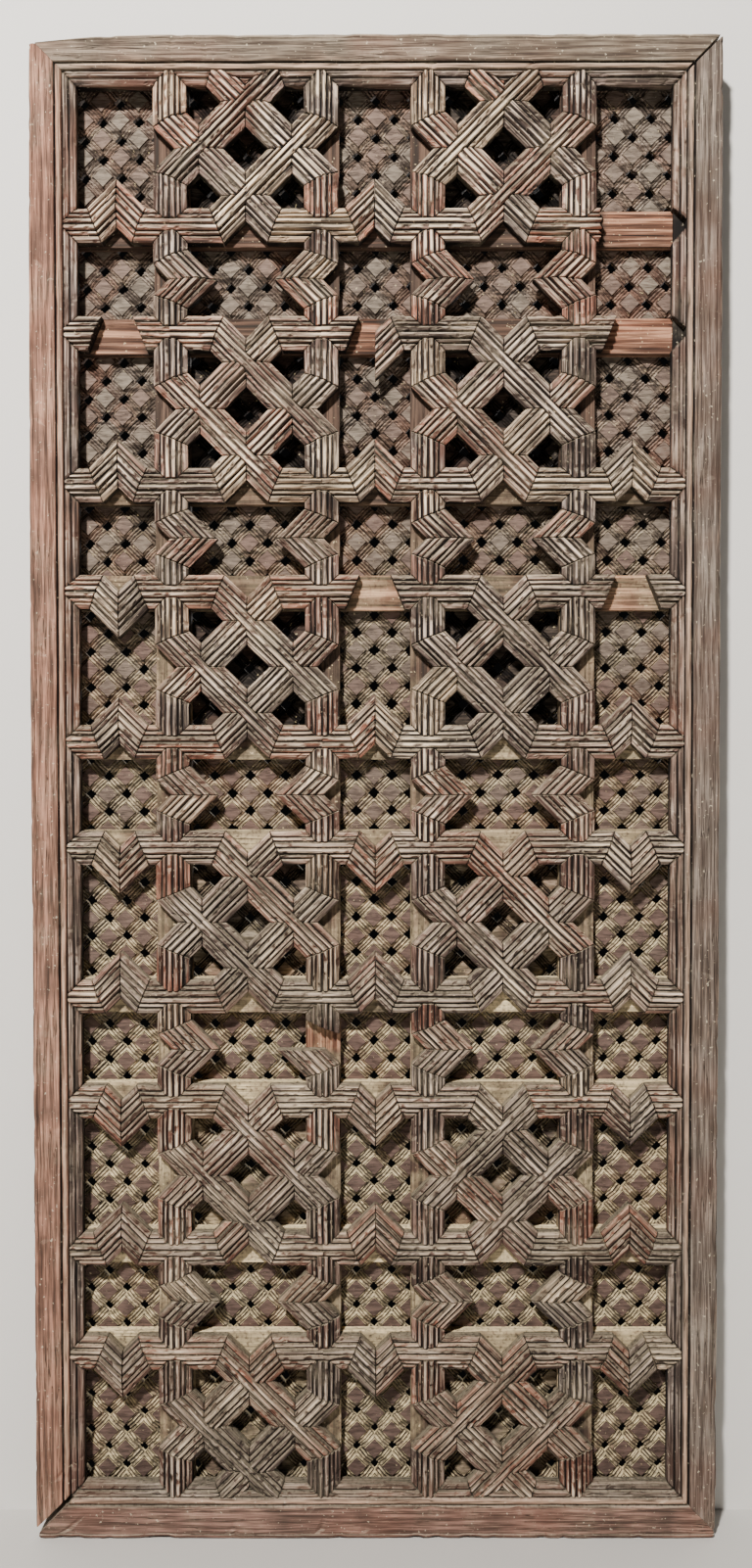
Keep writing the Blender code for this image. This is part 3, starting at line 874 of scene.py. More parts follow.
# Sawn softwood boards: under and beside the straps they are darker, and reddish and clean where
# a lost strap had covered them.
BOARD_ACROSS = AgedWood("board_softwood_sawn_across", groove="#2e2019",
                        bodies=("#7f6352", "#98654d", "#846b5a", "#a0694e"), worn="#b08569",
                        streak="#54392b", dust="#f7e1b2", grain=Grain.ALONG_X, grain_mm=1.5,
                        grain_length_mm=50.0, dust_amount=0.95, patchy_dust=0.8, dust_from=0.3,
                        has_values=False, settles=True, covered="#3d342d",
                        bare=bare_patches())
BOARD_UP = AgedWood("board_softwood_sawn_up", groove="#2e2019",
                    bodies=("#7f6352", "#92644c", "#846b5a", "#98674c"), worn="#a98168",
                    streak="#54392b", dust="#f7e1b2", grain=Grain.ALONG_Z, grain_mm=1.5,
                    grain_length_mm=50.0, dust_amount=0.95, patchy_dust=0.6, dust_from=0.4,
                    has_values=False, settles=True, covered="#3d342d", bare=bare_patches())


@dataclass(eq=False)
class Joint:
    """A place where straps meet, cross or end."""

    point: Vector
    straps: list["Strap"] = field(default_factory=list)
    through: Vector | None = None


@dataclass(eq=False)
class Strap:
    """One straight length of strap between two joints."""

    start: Joint
    end: Joint
    run: int = 0

    def leaving(self, joint: Joint) -> Vector:
        """Unit direction of the strap as it leaves the joint."""
        other = self.end if joint is self.start else self.start
        return (other.point - joint.point).normalized()


# Two places closer than this are one, in metres, and directions that agree more are one
SAME_PLACE = 0.0003
SAME_WAY = 0.9


def left_of(direction: Vector) -> Vector:
    """The direction turned a quarter turn to its left."""
    return Vector((-direction.y, direction.x))


def band_normal(point: Vector) -> Vector | None:
    """Find the frame band that a point lies on.

    Args:
        point: x and z of the point.

    Returns:
        The direction from that band to the opening, or None for a point on no band.
    """
    for distance, normal in ((point.x - COLUMNS[0], (1, 0)), (COLUMNS[-1] - point.x, (-1, 0)),
                             (point.y - ROWS[0], (0, 1)), (ROWS[-1] - point.y, (0, -1))):
        if abs(distance) < SAME_PLACE:
            return Vector(normal)
    return None


@dataclass
class Strapwork:
    """Moulded straps on the boards: stars round the small cells and crossed diagonals.

    Attributes:
        half_width: from a strap's middle line to its edge.
        through_width: half the width that runs through at a crossing.
        band_shift: how far the band's mitre lies off the strap's.
        seam: half the gap at a mitre.
        station: distance between cross sections.
        least_run: shortest length of a line of the moulding.
        arris: how far from an end its edge is rounded.
        arris_drop: how low it is rounded.
        most_drop: how much lower than the others a strap may lie.
        most_lean: how far it may be tilted, as a slope.
        sway: how far its lines wander sideways.
        unevenness: depth of broad hollows.
        roughness: depth of fine ones.
        chip_depth: depth of the chips on its ridges.
        chips_from: noise value from which there is a chip.
        splinter: length of the splinters of a snapped end.
        clearance: how far the highest ridge stays below the frame's face.
        joints: places where straps meet, cross or end.
        groups: straps by the CAD node that they belong to.
        gone: lost straps.
        snapped: straps that are snapped off, with the length that is left.
    """

    half_width: float = 0.01975
    through_width: float = 0.0071
    band_shift: float = 0.0035
    seam: float = 0.00035
    station: float = 0.0036
    least_run: float = 0.001
    arris: float = 0.0007
    arris_drop: float = 0.0011
    most_drop: float = 0.0007
    most_lean: float = 0.014
    sway: float = 0.0007
    unevenness: float = 0.0006
    roughness: float = 0.0005
    chip_depth: float = 0.0021
    chips_from: float = 0.68
    splinter: float = 0.005
    clearance: float = 0.00002
    joints: list[Joint] = field(default_factory=list)
    groups: dict[str, list[Strap]] = field(default_factory=dict)
    gone: set[Strap] = field(default_factory=set)
    snapped: dict[Strap, float] = field(default_factory=dict)

    # How far at least a strap's lines stay clear of the band's own line
    LEAST_DEPTH = 0.0005

    # How far each run's grain is shifted along and across, so that no two look the same
    GRAIN_SHIFT = (0.37, 0.11)

    # Large cells in which the rising diagonal runs through
    OVER = {(4, 1): Way.RISING, (5, 1): Way.RISING, (0, 0): Way.RISING, (0, 1): Way.RISING}

    def joint_at(self, point: Vector) -> Joint:
        """Find the joint at a point.

        Args:
            point: x and z of the point.

        Returns:
            The joint, a new one if there is none yet.
        """
        for joint in self.joints:
            if (joint.point - point).length < SAME_PLACE:
                return joint
        self.joints.append(Joint(Vector(point)))
        return self.joints[-1]

    def strap(self, start: Vector, end: Vector) -> Strap:
        """Fix a strap between two points.

        Args:
            start: x and z of its first end.
            end: x and z of its last end.

        Returns:
            The strap, which both joints know.
        """
        strap = Strap(self.joint_at(start), self.joint_at(end))
        strap.start.straps.append(strap)
        strap.end.straps.append(strap)
        return strap

    def chain(self, points: list[Vector]) -> list[Strap]:
        """The straps along a line of points."""
        return [self.strap(a, b) for a, b in zip(points, points[1:])]

    def plan_star(self, row: int, column: int) -> None:
        """Plan the four sides of a star and the straps that leave it.

        Args:
            row: short row, from the top.
            column: narrow column, from the left.
        """
        centre = self.cell_middle(2 * column, 2 * (SHORT_ROWS - row) - 1)
        half, kept = NARROW / 2, []
        reach = half + WIDE / 2 - STAR_REACH
        for side in (-1, 1):
            if side < 0 and column == 0 or side > 0 and column == NARROW_COLUMNS - 1:
                continue
            for level in (-1, 1):
                corner = centre + Vector((side * half, level * half))
                kept.append(self.strap(corner, centre + Vector((side * reach, level * half))))
                kept.append(self.strap(corner, centre + Vector((side * half, level * reach))))
        for name, out in (("top", Vector((0, 1))), ("bottom", Vector((0, -1))),
                          ("left", Vector((-1, 0))), ("right", Vector((1, 0)))):
            if name == "left" and column == 0 or name == "right" and column == NARROW_COLUMNS - 1:
                continue
            run = Vector((abs(out.y), abs(out.x)))
            middle = centre + out * half
            straps = self.chain([
                middle - run * half, middle - run * CHEVRON_REACH, middle + out * CHEVRON_REACH,
                middle + run * CHEVRON_REACH, middle + run * half])
            lost = LOST.get((row, column, name), ())
            self.gone.update(straps[i] for i in lost)
            if (row, column, name) in SNAPPED:
                self.snapped[straps[SNAPPED[row, column, name]]] = BROKEN_STUB
            kept += [strap for i, strap in enumerate(straps) if i not in lost]
        star, *stubs = self.connected(kept)
        self.groups[f"strap_star_{row + 1}_{column + 1}"] = star
        for i, stub in enumerate(stubs):
            self.groups[f"strap_stub_{row + 1}_{column + 1}_{i + 1}"] = stub

    def plan_lattice(self, row: int, column: int) -> None:
        """Plan the four crossed diagonals of a large cell.

        Args:
            row: tall row, from the top.
            column: wide column, from the left.
        """
        line = 2 * (SHORT_ROWS - row)
        half, knot = WIDE / 2, WIDE / 2 - STAR_REACH
        centre = Vector((self.cell_middle(2 * column + 1, line).x, ROWS[line + 1] - half))
        straps = []
        for side in (-1, 1):
            for level in (-1, 1):
                cut = BOTTOM_ROW_CUT if line == 0 and level < 0 else 0.0
                straps += self.chain([
                    centre + Vector((-side * (STAR_REACH - cut), level * (half - cut))),
                    centre + Vector((0, level * knot)),
                    centre + Vector((side * knot, 0)),
                    centre + Vector((side * half, -level * STAR_REACH))])
        way = self.OVER.get((row, column), Way.FALLING)
        for turn in ((0, knot), (0, -knot), (knot, 0), (-knot, 0)):
            joint = self.joint_at(centre + Vector(turn))
            joint.through = Vector((1, way.value)).normalized()
        self.groups[f"strap_lattice_{row + 1}_{column + 1}"] = straps

    def plan_ties(self) -> None:
        """Plan the upright straps that join the frame's top and bottom to the diagonals."""
        length = WIDE / 2 - STAR_REACH
        for name, line, run in (("top", ROWS[-1], -length),
                                ("bottom", ROWS[0], length - BOTTOM_ROW_CUT)):
            for i, x in enumerate(COLUMNS[1:-1]):
                self.groups[f"strap_{name}_{i + 1}"] = [
                    self.strap(Vector((x, line)), Vector((x, line + run)))]

    def connected(self, straps: list[Strap]) -> list[list[Strap]]:
        """Sort straps into groups that touch each other.

        Args:
            straps: the straps.

        Returns:
            The groups, the largest first.
        """
        groups: list[tuple[list[Strap], set[int]]] = []
        for strap in straps:
            joined, ends = [strap], {id(strap.start), id(strap.end)}
            for group in [group for group in groups if group[1] & ends]:
                joined, ends = joined + group[0], ends | group[1]
                groups.remove(group)
            groups.append((joined, ends))
        return sorted((group[0] for group in groups), key=len, reverse=True)

    def cell_middle(self, column: int, row: int) -> Vector:
        """Centre of a grid cell, counted from the left and from the bottom."""
        return Vector(((COLUMNS[column] + COLUMNS[column + 1]) / 2,
                       (ROWS[row] + ROWS[row + 1]) / 2))

    def number_runs(self) -> None:
        """Give straps that are one board through a crossing the same run number."""
        straps = [strap for group in self.groups.values() for strap in group]
        for i, strap in enumerate(straps):
            strap.run = i
        for joint in self.joints:
            if len(joint.straps) < 4:
                continue
            joint.through = joint.through or Vector((1, 0))
            over = [strap for strap in joint.straps if self.runs_through(strap, joint)]
            low = min(strap.run for strap in over)
            for old in {strap.run for strap in over}:
                for strap in straps:
                    if strap.run == old:
                        strap.run = low

    def runs_through(self, strap: Strap, joint: Joint) -> bool:
        """Whether the strap is the one that runs through at a crossing."""
        return abs(strap.leaving(joint).dot(joint.through)) > SAME_WAY

    def reach(self, strap: Strap, joint: Joint, offset: np.ndarray) -> np.ndarray:
        """How far from the joint each line of the moulding starts.

        Args:
            strap: the strap.
            joint: the end that is looked at.
            offset: offsets of the lines to the left of the strap as it leaves the joint.

        Returns:
            Distances along the strap from the joint.
        """
        along = strap.leaving(joint)
        across = left_of(along)
        wide = np.abs(offset)
        normal = band_normal(joint.point)
        if normal is not None:
            depth = np.maximum(wide - self.band_shift, self.LEAST_DEPTH)
            return (depth - offset * across.dot(normal)) / along.dot(normal) + self.seam
        if len(joint.straps) == 2:
            other = joint.straps[0] if joint.straps[1] is strap else joint.straps[1]
            mitre = (along + other.leaving(joint)).normalized()
            slope = mitre.dot(along) / mitre.dot(across)
            return offset * slope + self.seam / abs(mitre.dot(across))
        if self.runs_through(strap, joint):
            return np.where(wide <= self.through_width, 0.0, wide + self.seam)
        return np.maximum(wide, self.through_width) + self.seam

    def lines(self, strap: Strap, length: float) -> tuple[np.ndarray, np.ndarray]:
        """Draw the moulding in where a short strap has no room for its full width.

        Args:
            strap: the strap.
            length: distance between its joints.

        Returns:
            Offset and height of each line of its moulding.
        """
        offset, height = STRAP_MOULDING.offset.copy(), STRAP_MOULDING.height.copy()
        widths = np.linspace(0, self.half_width, 80)
        for side in (-1, 1):
            room = (length - self.reach(strap, strap.start, side * widths)
                    - self.reach(strap, strap.end, -side * widths))
            if room.min() < self.least_run:
                limit = widths[np.argmax(room < self.least_run)]
                beyond = offset * side > limit
                height[beyond] = np.interp(side * limit, offset, height)
                offset[beyond] = side * limit
        return offset, height

    def shares(self, length: float) -> np.ndarray:
        """Space out the cross sections of a strap.

        Args:
            length: the strap's mean length.

        Returns:
            A column of shares of the length from 0 to 1, with one close to either end.
        """
        inner = np.linspace(0, 1, max(2, round(length / self.station)) + 1)
        edge = self.arris / max(length, 2 * self.least_run)
        return np.concatenate([[0.0, edge], inner[1:-1], [1 - edge, 1.0]])[:, None]

    def rounding(self, strap: Strap, gap: np.ndarray, share: np.ndarray,
                 offset: np.ndarray) -> np.ndarray:
        """Say how far the edge of a strap's ends is rounded off.

        Args:
            strap: the strap.
            gap: distance of each place from the nearer end.
            share: shares of the length.
            offset: offsets of the lines.

        Returns:
            1 at an end, 0 away from it and where the strap runs through a crossing.
        """
        amount = np.clip(1 - gap / self.arris, 0, 1)
        for joint, ends in ((strap.start, share < 0.5), (strap.end, share >= 0.5)):
            if len(joint.straps) == 4 and self.runs_through(strap, joint):
                amount = np.where(ends & (np.abs(offset) <= self.through_width), 0.0, amount)
        return amount

    def add_strap(self, pile: Pile, strap: Strap) -> None:
        """Add one strap's moulding to a pile.

        Args:
            pile: the pile of the CAD node that the strap belongs to.
            strap: the strap.
        """
        length = (strap.end.point - strap.start.point).length
        offset, height = self.lines(strap, length)
        wear = STRAP_MOULDING.wear
        begin = self.reach(strap, strap.start, offset)
        finish = length - self.reach(strap, strap.end, -offset)
        if strap in self.snapped:
            place = np.stack([offset, offset * 0, offset * 0], 1)
            finish = self.snapped[strap] + self.splinter * (noise(place, 0.003, 5) - 0.3)
        share = self.shares(float((finish - begin).mean()))
        run = begin + (finish - begin) * share
        along = strap.leaving(strap.start)
        across = left_of(along)
        origin = strap.start.point
        x = origin.x + along.x * run + across.x * offset
        z = origin.y + along.y * run + across.y * offset
        shift_along, shift_across = (strap.run * shift for shift in self.GRAIN_SHIFT)
        random = np.random.default_rng(strap.run * 7 + 11)
        tone = random.uniform(0, 1)
        drop = random.uniform(0, self.most_drop)
        lean = random.uniform(-self.most_lean, self.most_lean)
        shape = x.shape
        flat = np.stack([x, z, np.full_like(x, shift_along)], -1).reshape(-1, 3)
        place = np.stack([x, z, np.zeros_like(x)], -1).reshape(-1, 3)
        sway = (noise(flat, 0.022, 1) - 0.5).reshape(shape) * self.sway
        lift = np.broadcast_to(height, shape) - drop - np.abs(lean) * self.half_width \
            + lean * offset
        lift = lift - self.unevenness * noise(place, 0.017, 2).reshape(shape)
        ragged = noise(place, 0.0055, 3).reshape(shape)
        chipped = np.clip((ragged - self.chips_from) / 0.1, 0, 1) * wear
        lift = lift - self.chip_depth * chipped - self.roughness * ragged * wear
        rounding = self.rounding(strap, np.minimum(run - begin, finish - run), share, offset)
        highest = THICKNESS - STRAP_BASE - self.clearance
        lift = np.minimum(lift - self.arris_drop * rounding, highest)
        x = x + across.x * sway * (1 - rounding)
        z = z + across.y * sway * (1 - rounding)
        # Rounded ends and chips lose wear, which gives them the groove colour of dirt and painted
        # shade
        rubbed = np.clip(wear - 0.75 * rounding - 0.35 * chipped, 0, 1)
        rubbed = rubbed * (0.72 + 0.5 * noise(place, 0.03, 4).reshape(shape))
        tops = np.stack([x, -(STRAP_BASE + lift), z], -1)
        feet = np.stack([x[[0, -1]], np.full((2, shape[1]), -STRAP_BASE), z[[0, -1]]], -1)
        pile.add_run(tops, feet, run + shift_along, offset + shift_across, tone, rubbed)

    def build(self) -> None:
        """Plan every strap, then build the pieces, one for each CAD node."""
        for row in range(SHORT_ROWS):
            for column in range(NARROW_COLUMNS):
                self.plan_star(row, column)
        for row in range(SHORT_ROWS + 1):
            for column in range(NARROW_COLUMNS - 1):
                self.plan_lattice(row, column)
        self.plan_ties()
        self.number_runs()
        wood = STRAP_WOOD.build()
        for node, straps in self.groups.items():
            pile = Pile()
            for strap in straps:
                self.add_strap(pile, strap)
            name = node.replace("strap_", "moulded_", 1)
            new_piece(name, pile.mesh(name), wood, [node])


@dataclass
class Rail:
    """One side of the frame, from outer corner to outer corner.

    Attributes:
        name: name of its CAD node.
        start: x and z of its first outer corner.
        end: x and z of its last outer corner.
        inward: direction from its outer edge to the opening.
        gaps: how far the mitres at its ends stand open.
        start_wear: depth and reach of the wear of its edge at its start.
        end_wear: depth and reach of the wear of its edge at its end.
        tone: its own tone from 0 to 1.
        chip: depth of the chips in its edge.
        extra: how much wider it is than the others.
        end_extras: how much wider its neighbours are.
    """

    name: str
    start: Vector
    end: Vector
    inward: Vector
    gaps: tuple[float, float]
    start_wear: tuple[float, float]
    end_wear: tuple[float, float]
    tone: float
    chip: float
    extra: float = 0.0
    end_extras: tuple[float, float] = (0.0, 0.0)


@dataclass
class Frame:
    """Four mitred rails: a flat, a wide bead, then finer mouldings towards the opening.

    Attributes:
        mitre_line: from the outer edge to the line where the band's mouldings are mitred.
        corner_radius: of the rubbed outer corners.
        station: distance between cross sections of a rail.
        open_mitre: gap of the top right mitre.
        gaping_mitre: gap of the bottom left mitre.
        tight_mitre: gap of a closed one.
        edge_zone: how far the wear of the outer edge reaches in.
        end_skip: from a corner to the first place whose wear is read.
        raised_from: height above which the front is worn.
        edge_wander: how far the outer edge wanders.
        hollows: depths of the broad and the fine hollows.
        dent_depth: depth of dents.
        band_station: distance between cross sections of the band.
        band_hollow: depth of the band's hollows.
        band_chip: depth of the chips on its ridges.
        band_arris: how far from an end its edge is rounded.
        band_arris_drop: how low it is rounded.
        least_run: shortest length of a line of the moulding.
    """

    mitre_line: float = 0.038
    corner_radius: float = 0.009
    station: float = 0.006
    open_mitre: float = 0.0030
    gaping_mitre: float = 0.0064
    tight_mitre: float = 0.0003
    edge_zone: float = 0.012
    end_skip: float = 0.02
    raised_from: float = 0.05
    edge_wander: float = 0.0008
    hollows: tuple[float, float] = (0.0009, 0.0006)
    dent_depth: float = 0.0022
    band_station: float = 0.004
    band_hollow: float = 0.0009
    band_chip: float = 0.0018
    band_arris: float = 0.0007
    band_arris_drop: float = 0.001
    least_run: float = 0.001

    # Depth from the outer edge and height above the back, in mm, and wear
    # Painted shade: a wear of 0 gives the inner faces that drop into the opening the dark groove
    # colour, as dirt and as the shade there; the outer side's low wear darkens it a little
    SECTION = [
        (0.0, 0.0, 0.3), (0.0, 30.0, 0.3), (0.0, 55.0, 0.35), (0.9, 57.8, 0.8), (3.2, 59.4, 0.6),
        (5.2, 59.8, 0.6), (6.0, 59.0, 0.2), (6.9, 59.9, 0.6), (12.0, 59.9, 0.6),
        (22.0, 59.9, 0.6), (30.3, 59.8, 0.7), (31.7, 59.2, 0.6), (32.4, 57.4, 0.0),
        (33.4, 55.6, 0.0), (34.3, 57.4, 0.1), (35.0, 59.2, 0.7), (36.5, 59.9, 1.0),
        (38.5, 59.9, 1.0), (40.3, 59.3, 0.8), (41.0, 58.0, 0.4), (41.7, 55.6, 0.0),
        (42.2, 54.4, 0.0), (42.4, 44.0, 0.0), (55.0, 44.0, 0.0), (55.0, 40.0, 0.0),
        (36.5, 40.0, 0.0), (36.5, 20.0, 0.1), (36.5, 0.0, 0.3), (12.0, 0.0, 0.3),
    ]

    def rails(self) -> list[Rail]:
        """Describe the four rails.

        Returns:
            The rails, anticlockwise as seen from the front.
        """
        low_left, low_right = Vector((LEFT, BOTTOM)), Vector((RIGHT, BOTTOM))
        top_right, top_left = Vector((RIGHT, TOP)), Vector((LEFT, TOP))
        wide, tight, extra = self.open_mitre, self.tight_mitre, BOTTOM_EXTRA
        gaping = self.gaping_mitre
        return [
            Rail("bottom_rail", low_left, low_right, Vector((0, 1)), (gaping, tight),
                 (0.003, 0.03), (0.003, 0.04), 0.7, 0.0022, extra=extra),
            Rail("right_stile", low_right, top_right, Vector((-1, 0)), (tight, wide),
                 (0.004, 0.05), (0.002, 0.03), 0.2, 0.0010, end_extras=(extra, 0.0)),
            Rail("top_rail", top_right, top_left, Vector((0, -1)), (wide, tight),
                 (0.002, 0.05), (0.0126, 0.18), 0.0, 0.0010),
            Rail("left_stile", top_left, low_left, Vector((1, 0)), (tight, gaping),
                 (0.004, 0.9), (0.002, 0.03), 1.0, 0.0008, end_extras=(0.0, extra)),
        ]

    def worn_edge(self, rail: Rail, run: np.ndarray) -> np.ndarray:
        """Wear the rail's outer edge.

        Args:
            rail: the rail.
            run: distances along it from its first corner.

        Returns:
            How deep the edge is worn at each distance.
        """
        length = (rail.end - rail.start).length
        edge = np.zeros_like(run)
        for distance, (deep, reach) in ((run, rail.start_wear), (length - run, rail.end_wear)):
            edge += deep * np.clip(1 - distance / reach, 0, 1) ** 2.2
            corner = np.clip(self.corner_radius - distance, 0, self.corner_radius)
            round_off = self.corner_radius - np.sqrt(self.corner_radius ** 2 - corner ** 2)
            edge = np.maximum(edge, round_off)
        line = np.stack([run, run * 0, run * 0], 1)
        seed = len(rail.name)
        edge += self.edge_wander * noise(line, 0.08, seed)
        chips = noise(line, 0.011, seed + 3)
        return edge + rail.chip * np.clip((chips - 0.75) / 0.15, 0, 1)

    def end_run(self, rail: Rail, at_end: bool, deep: np.ndarray) -> np.ndarray:
        """How far from its corner each line of a rail stops: at the mitre, or where it is worn.

        Args:
            rail: the rail.
            at_end: the rail's end, not its start.
            deep: depths of the lines from the outer edge.

        Returns:
            Distances along the rail from the corner.
        """
        side = int(at_end)
        rails = self.rails()
        turn = [other.name for other in rails].index(rail.name) + (1 if at_end else -1)
        other = rails[turn % len(rails)]
        length = (other.end - other.start).length
        worn = self.worn_edge(other, deep if at_end else length - deep)
        mitre = np.maximum(deep + rail.end_extras[side] - rail.extra, 0)
        return np.maximum(mitre + rail.gaps[side] / math.sqrt(2), worn)

    def add_body(self, pile: Pile, rail: Rail) -> None:
        """Add the rail's flat, its wide bead and its back, mitred at both corners.

        Args:
            pile: the pile of the rail's CAD node.
            rail: the rail.
        """
        along = (rail.end - rail.start).normalized()
        length = (rail.end - rail.start).length
        table = np.array(self.SECTION)
        depth, height, wear = table[:, 0] * MM, table[:, 1] * MM, table[:, 2]
        depth = np.where(depth > self.edge_zone + MM, depth + rail.extra, depth)
        share = np.linspace(0, 1, round(length / self.station) + 1)
        close = share[1] * np.array([0.12, 0.35, 0.6])
        share = np.unique(np.concatenate([share, close, 1 - close]))[:, None]
        middle = self.end_skip + (length - 2 * self.end_skip) * share[:, 0]
        middle[0], middle[-1] = self.edge_zone, length - self.edge_zone
        edge = self.worn_edge(rail, middle)[:, None]
        deep = np.where(depth < self.edge_zone - MM, depth + edge * (1 - depth / self.edge_zone),
                        depth)
        begin = self.end_run(rail, False, deep[0])
        finish = length - self.end_run(rail, True, deep[-1])
        run = begin + (finish - begin) * share
        x = rail.start.x + along.x * run + rail.inward.x * deep
        z = rail.start.y + along.y * run + rail.inward.y * deep
        place = np.stack([x, z, np.broadcast_to(height, x.shape)], -1).reshape(-1, 3)
        front = np.broadcast_to(height > self.raised_from, x.shape)
        worn = self.hollows[0] * noise(place, 0.03, 21) + self.hollows[1] * noise(place, 0.009, 22)
        dents = self.dent_depth * np.clip((noise(place, 0.013, 23) - 0.8) / 0.1, 0, 1)
        lift = np.broadcast_to(height, x.shape) - (worn + dents).reshape(x.shape) * front
        rubbed = np.broadcast_to(wear, x.shape) * (0.8 + 0.3 * noise(place, 0.05, 24)
                                                   .reshape(x.shape))
        points = np.stack([x, -np.clip(lift, 0, THICKNESS), z], -1)
        girth = np.cumsum(np.hypot(np.diff(depth, prepend=0), np.diff(height, prepend=0)))
        grain = np.stack([run + len(rail.name), np.broadcast_to(girth, x.shape)], -1)
        first = pile.add(points.reshape(-1, 3), grain.reshape(-1, 2), rail.tone,
                         rubbed.reshape(-1))
        width = len(depth)
        for i in range(len(share) - 1):
            for j in range(width):
                k = (j + 1) % width
                a, b = first + i * width, first + (i + 1) * width
                pile.faces.append([a + j, a + k, b + k, b + j])
        pile.faces.append([first + j for j in range(width)])
        last = first + (len(share) - 1) * width
        pile.faces.append([last + j for j in reversed(range(width))])

    def meetings(self, rail: Rail, joints: list[Joint]) -> list[tuple[float, float, float]]:
        """Where straps meet this rail's band.

        Args:
            rail: the rail.
            joints: every joint of the strapwork.

        Returns:
            Distance along the rail, and how far the band's line at one metre of offset stops
            short of it before and after the strap.
        """
        along = (rail.end - rail.start).normalized()
        found = []
        for joint in joints:
            normal = band_normal(joint.point)
            if normal is None or (normal - rail.inward).length > 0.1:
                continue
            way = joint.straps[0].leaving(joint)
            lean = way.dot(along)
            shift = (BAND_LINE - self.mitre_line) * lean / way.dot(rail.inward)
            angle_after = math.acos(max(-1, min(1, lean)))
            angle_before = math.pi - angle_after
            found.append(((joint.point - rail.start).dot(along) - shift,
                          1 / math.tan(angle_before / 2), 1 / math.tan(angle_after / 2)))
        return sorted(found)

    def fitted(self, start_slope: float, end_slope: float,
               length: float) -> tuple[np.ndarray, np.ndarray]:
        """Draw the band's moulding in where two straps leave no room for its full width.

        Args:
            start_slope: how far each line starts after the stop, by its offset.
            end_slope: how far each line ends before the next stop, by its offset.
            length: distance between the two stops.

        Returns:
            Offset and height of each line.
        """
        offset, height = BAND_MOULDING.offset, BAND_MOULDING.height
        fine = np.linspace(offset[0], offset[-1], 120)
        room = length - 2 * self.tight_mitre - (start_slope + end_slope) * fine
        if room.min() >= self.least_run:
            return offset, height
        limit = fine[np.argmax(room < self.least_run)]
        beyond = offset > limit
        return (np.where(beyond, limit, offset),
                np.where(beyond, np.interp(limit, offset, height), height))

    def add_mouldings(self, pile: Pile, rail: Rail, joints: list[Joint]) -> None:
        """Add the band's fine mouldings, mitred to each strap that meets it.

        Args:
            pile: the pile of the rail's CAD node.
            rail: the rail.
            joints: every joint of the strapwork.
        """
        along = (rail.end - rail.start).normalized()
        length = (rail.end - rail.start).length
        corners = [self.mitre_line + more for more in rail.end_extras]
        stops = [(corners[0], 1.0, 1.0), *self.meetings(rail, joints),
                 (length - corners[1], 1.0, 1.0)]
        wear = BAND_MOULDING.wear
        for number, (here, there) in enumerate(zip(stops, stops[1:])):
            offset, height = self.fitted(here[2], there[1], there[0] - here[0])
            begin = here[0] + here[2] * offset + self.tight_mitre
            finish = there[0] - there[1] * offset - self.tight_mitre
            steps = max(3, round(float((finish - begin).max()) / self.band_station))
            share = np.linspace(0, 1, steps + 1)[:, None]
            run = begin + (finish - begin) * share
            deep = self.mitre_line + rail.extra + offset
            x = rail.start.x + along.x * run + rail.inward.x * deep
            z = rail.start.y + along.y * run + rail.inward.y * deep
            place = np.stack([x, z, x * 0], -1).reshape(-1, 3)
            ragged = noise(place, 0.006, 31).reshape(x.shape)
            chipped = np.clip((ragged - 0.74) / 0.1, 0, 1) * wear
            lift = height - self.band_hollow * noise(place, 0.02, 32).reshape(x.shape) \
                - self.band_chip * chipped
            gap = np.minimum(run - begin, finish - run)
            rounding = np.clip(1 - gap / self.band_arris, 0, 1)
            lift = lift - self.band_arris_drop * rounding
            # Rounded ends and chips lose wear, which gives them the groove colour of dirt and
            # painted shade
            rubbed = np.clip(wear - 0.7 * rounding - 0.3 * chipped, 0, 1) \
                * (0.75 + 0.45 * noise(place, 0.035, 33).reshape(x.shape))
            tops = np.stack([x, -(STRAP_BASE + lift), z], -1)
            feet = np.stack([x[[0, -1]], np.full((2, x.shape[1]), -STRAP_BASE), z[[0, -1]]], -1)
            tone = float(np.random.default_rng(len(rail.name) + number).uniform(0.2, 0.8))
            pile.add_run(tops, feet, run + number, offset + number * 0.1, tone, rubbed)

    def build(self, joints: list[Joint]) -> None:
        """Build the four rails.

        Args:
            joints: every joint of the strapwork, for the mitres in the band.
        """
        wood, band_wood = FRAME_WOOD.build(), BAND_WOOD.build()
        for rail in self.rails():
            pile = Pile()
            self.add_body(pile, rail)
            plain = len(pile.faces)
            self.add_mouldings(pile, rail, joints)
            name = "moulded_" + rail.name
            mesh = pile.mesh(name)
            new_piece(name, mesh, wood, [rail.name])
            mesh.materials.append(band_wood)
            mesh.polygons.foreach_set(
                "material_index", [int(i >= plain) for i in range(len(pile.faces))])


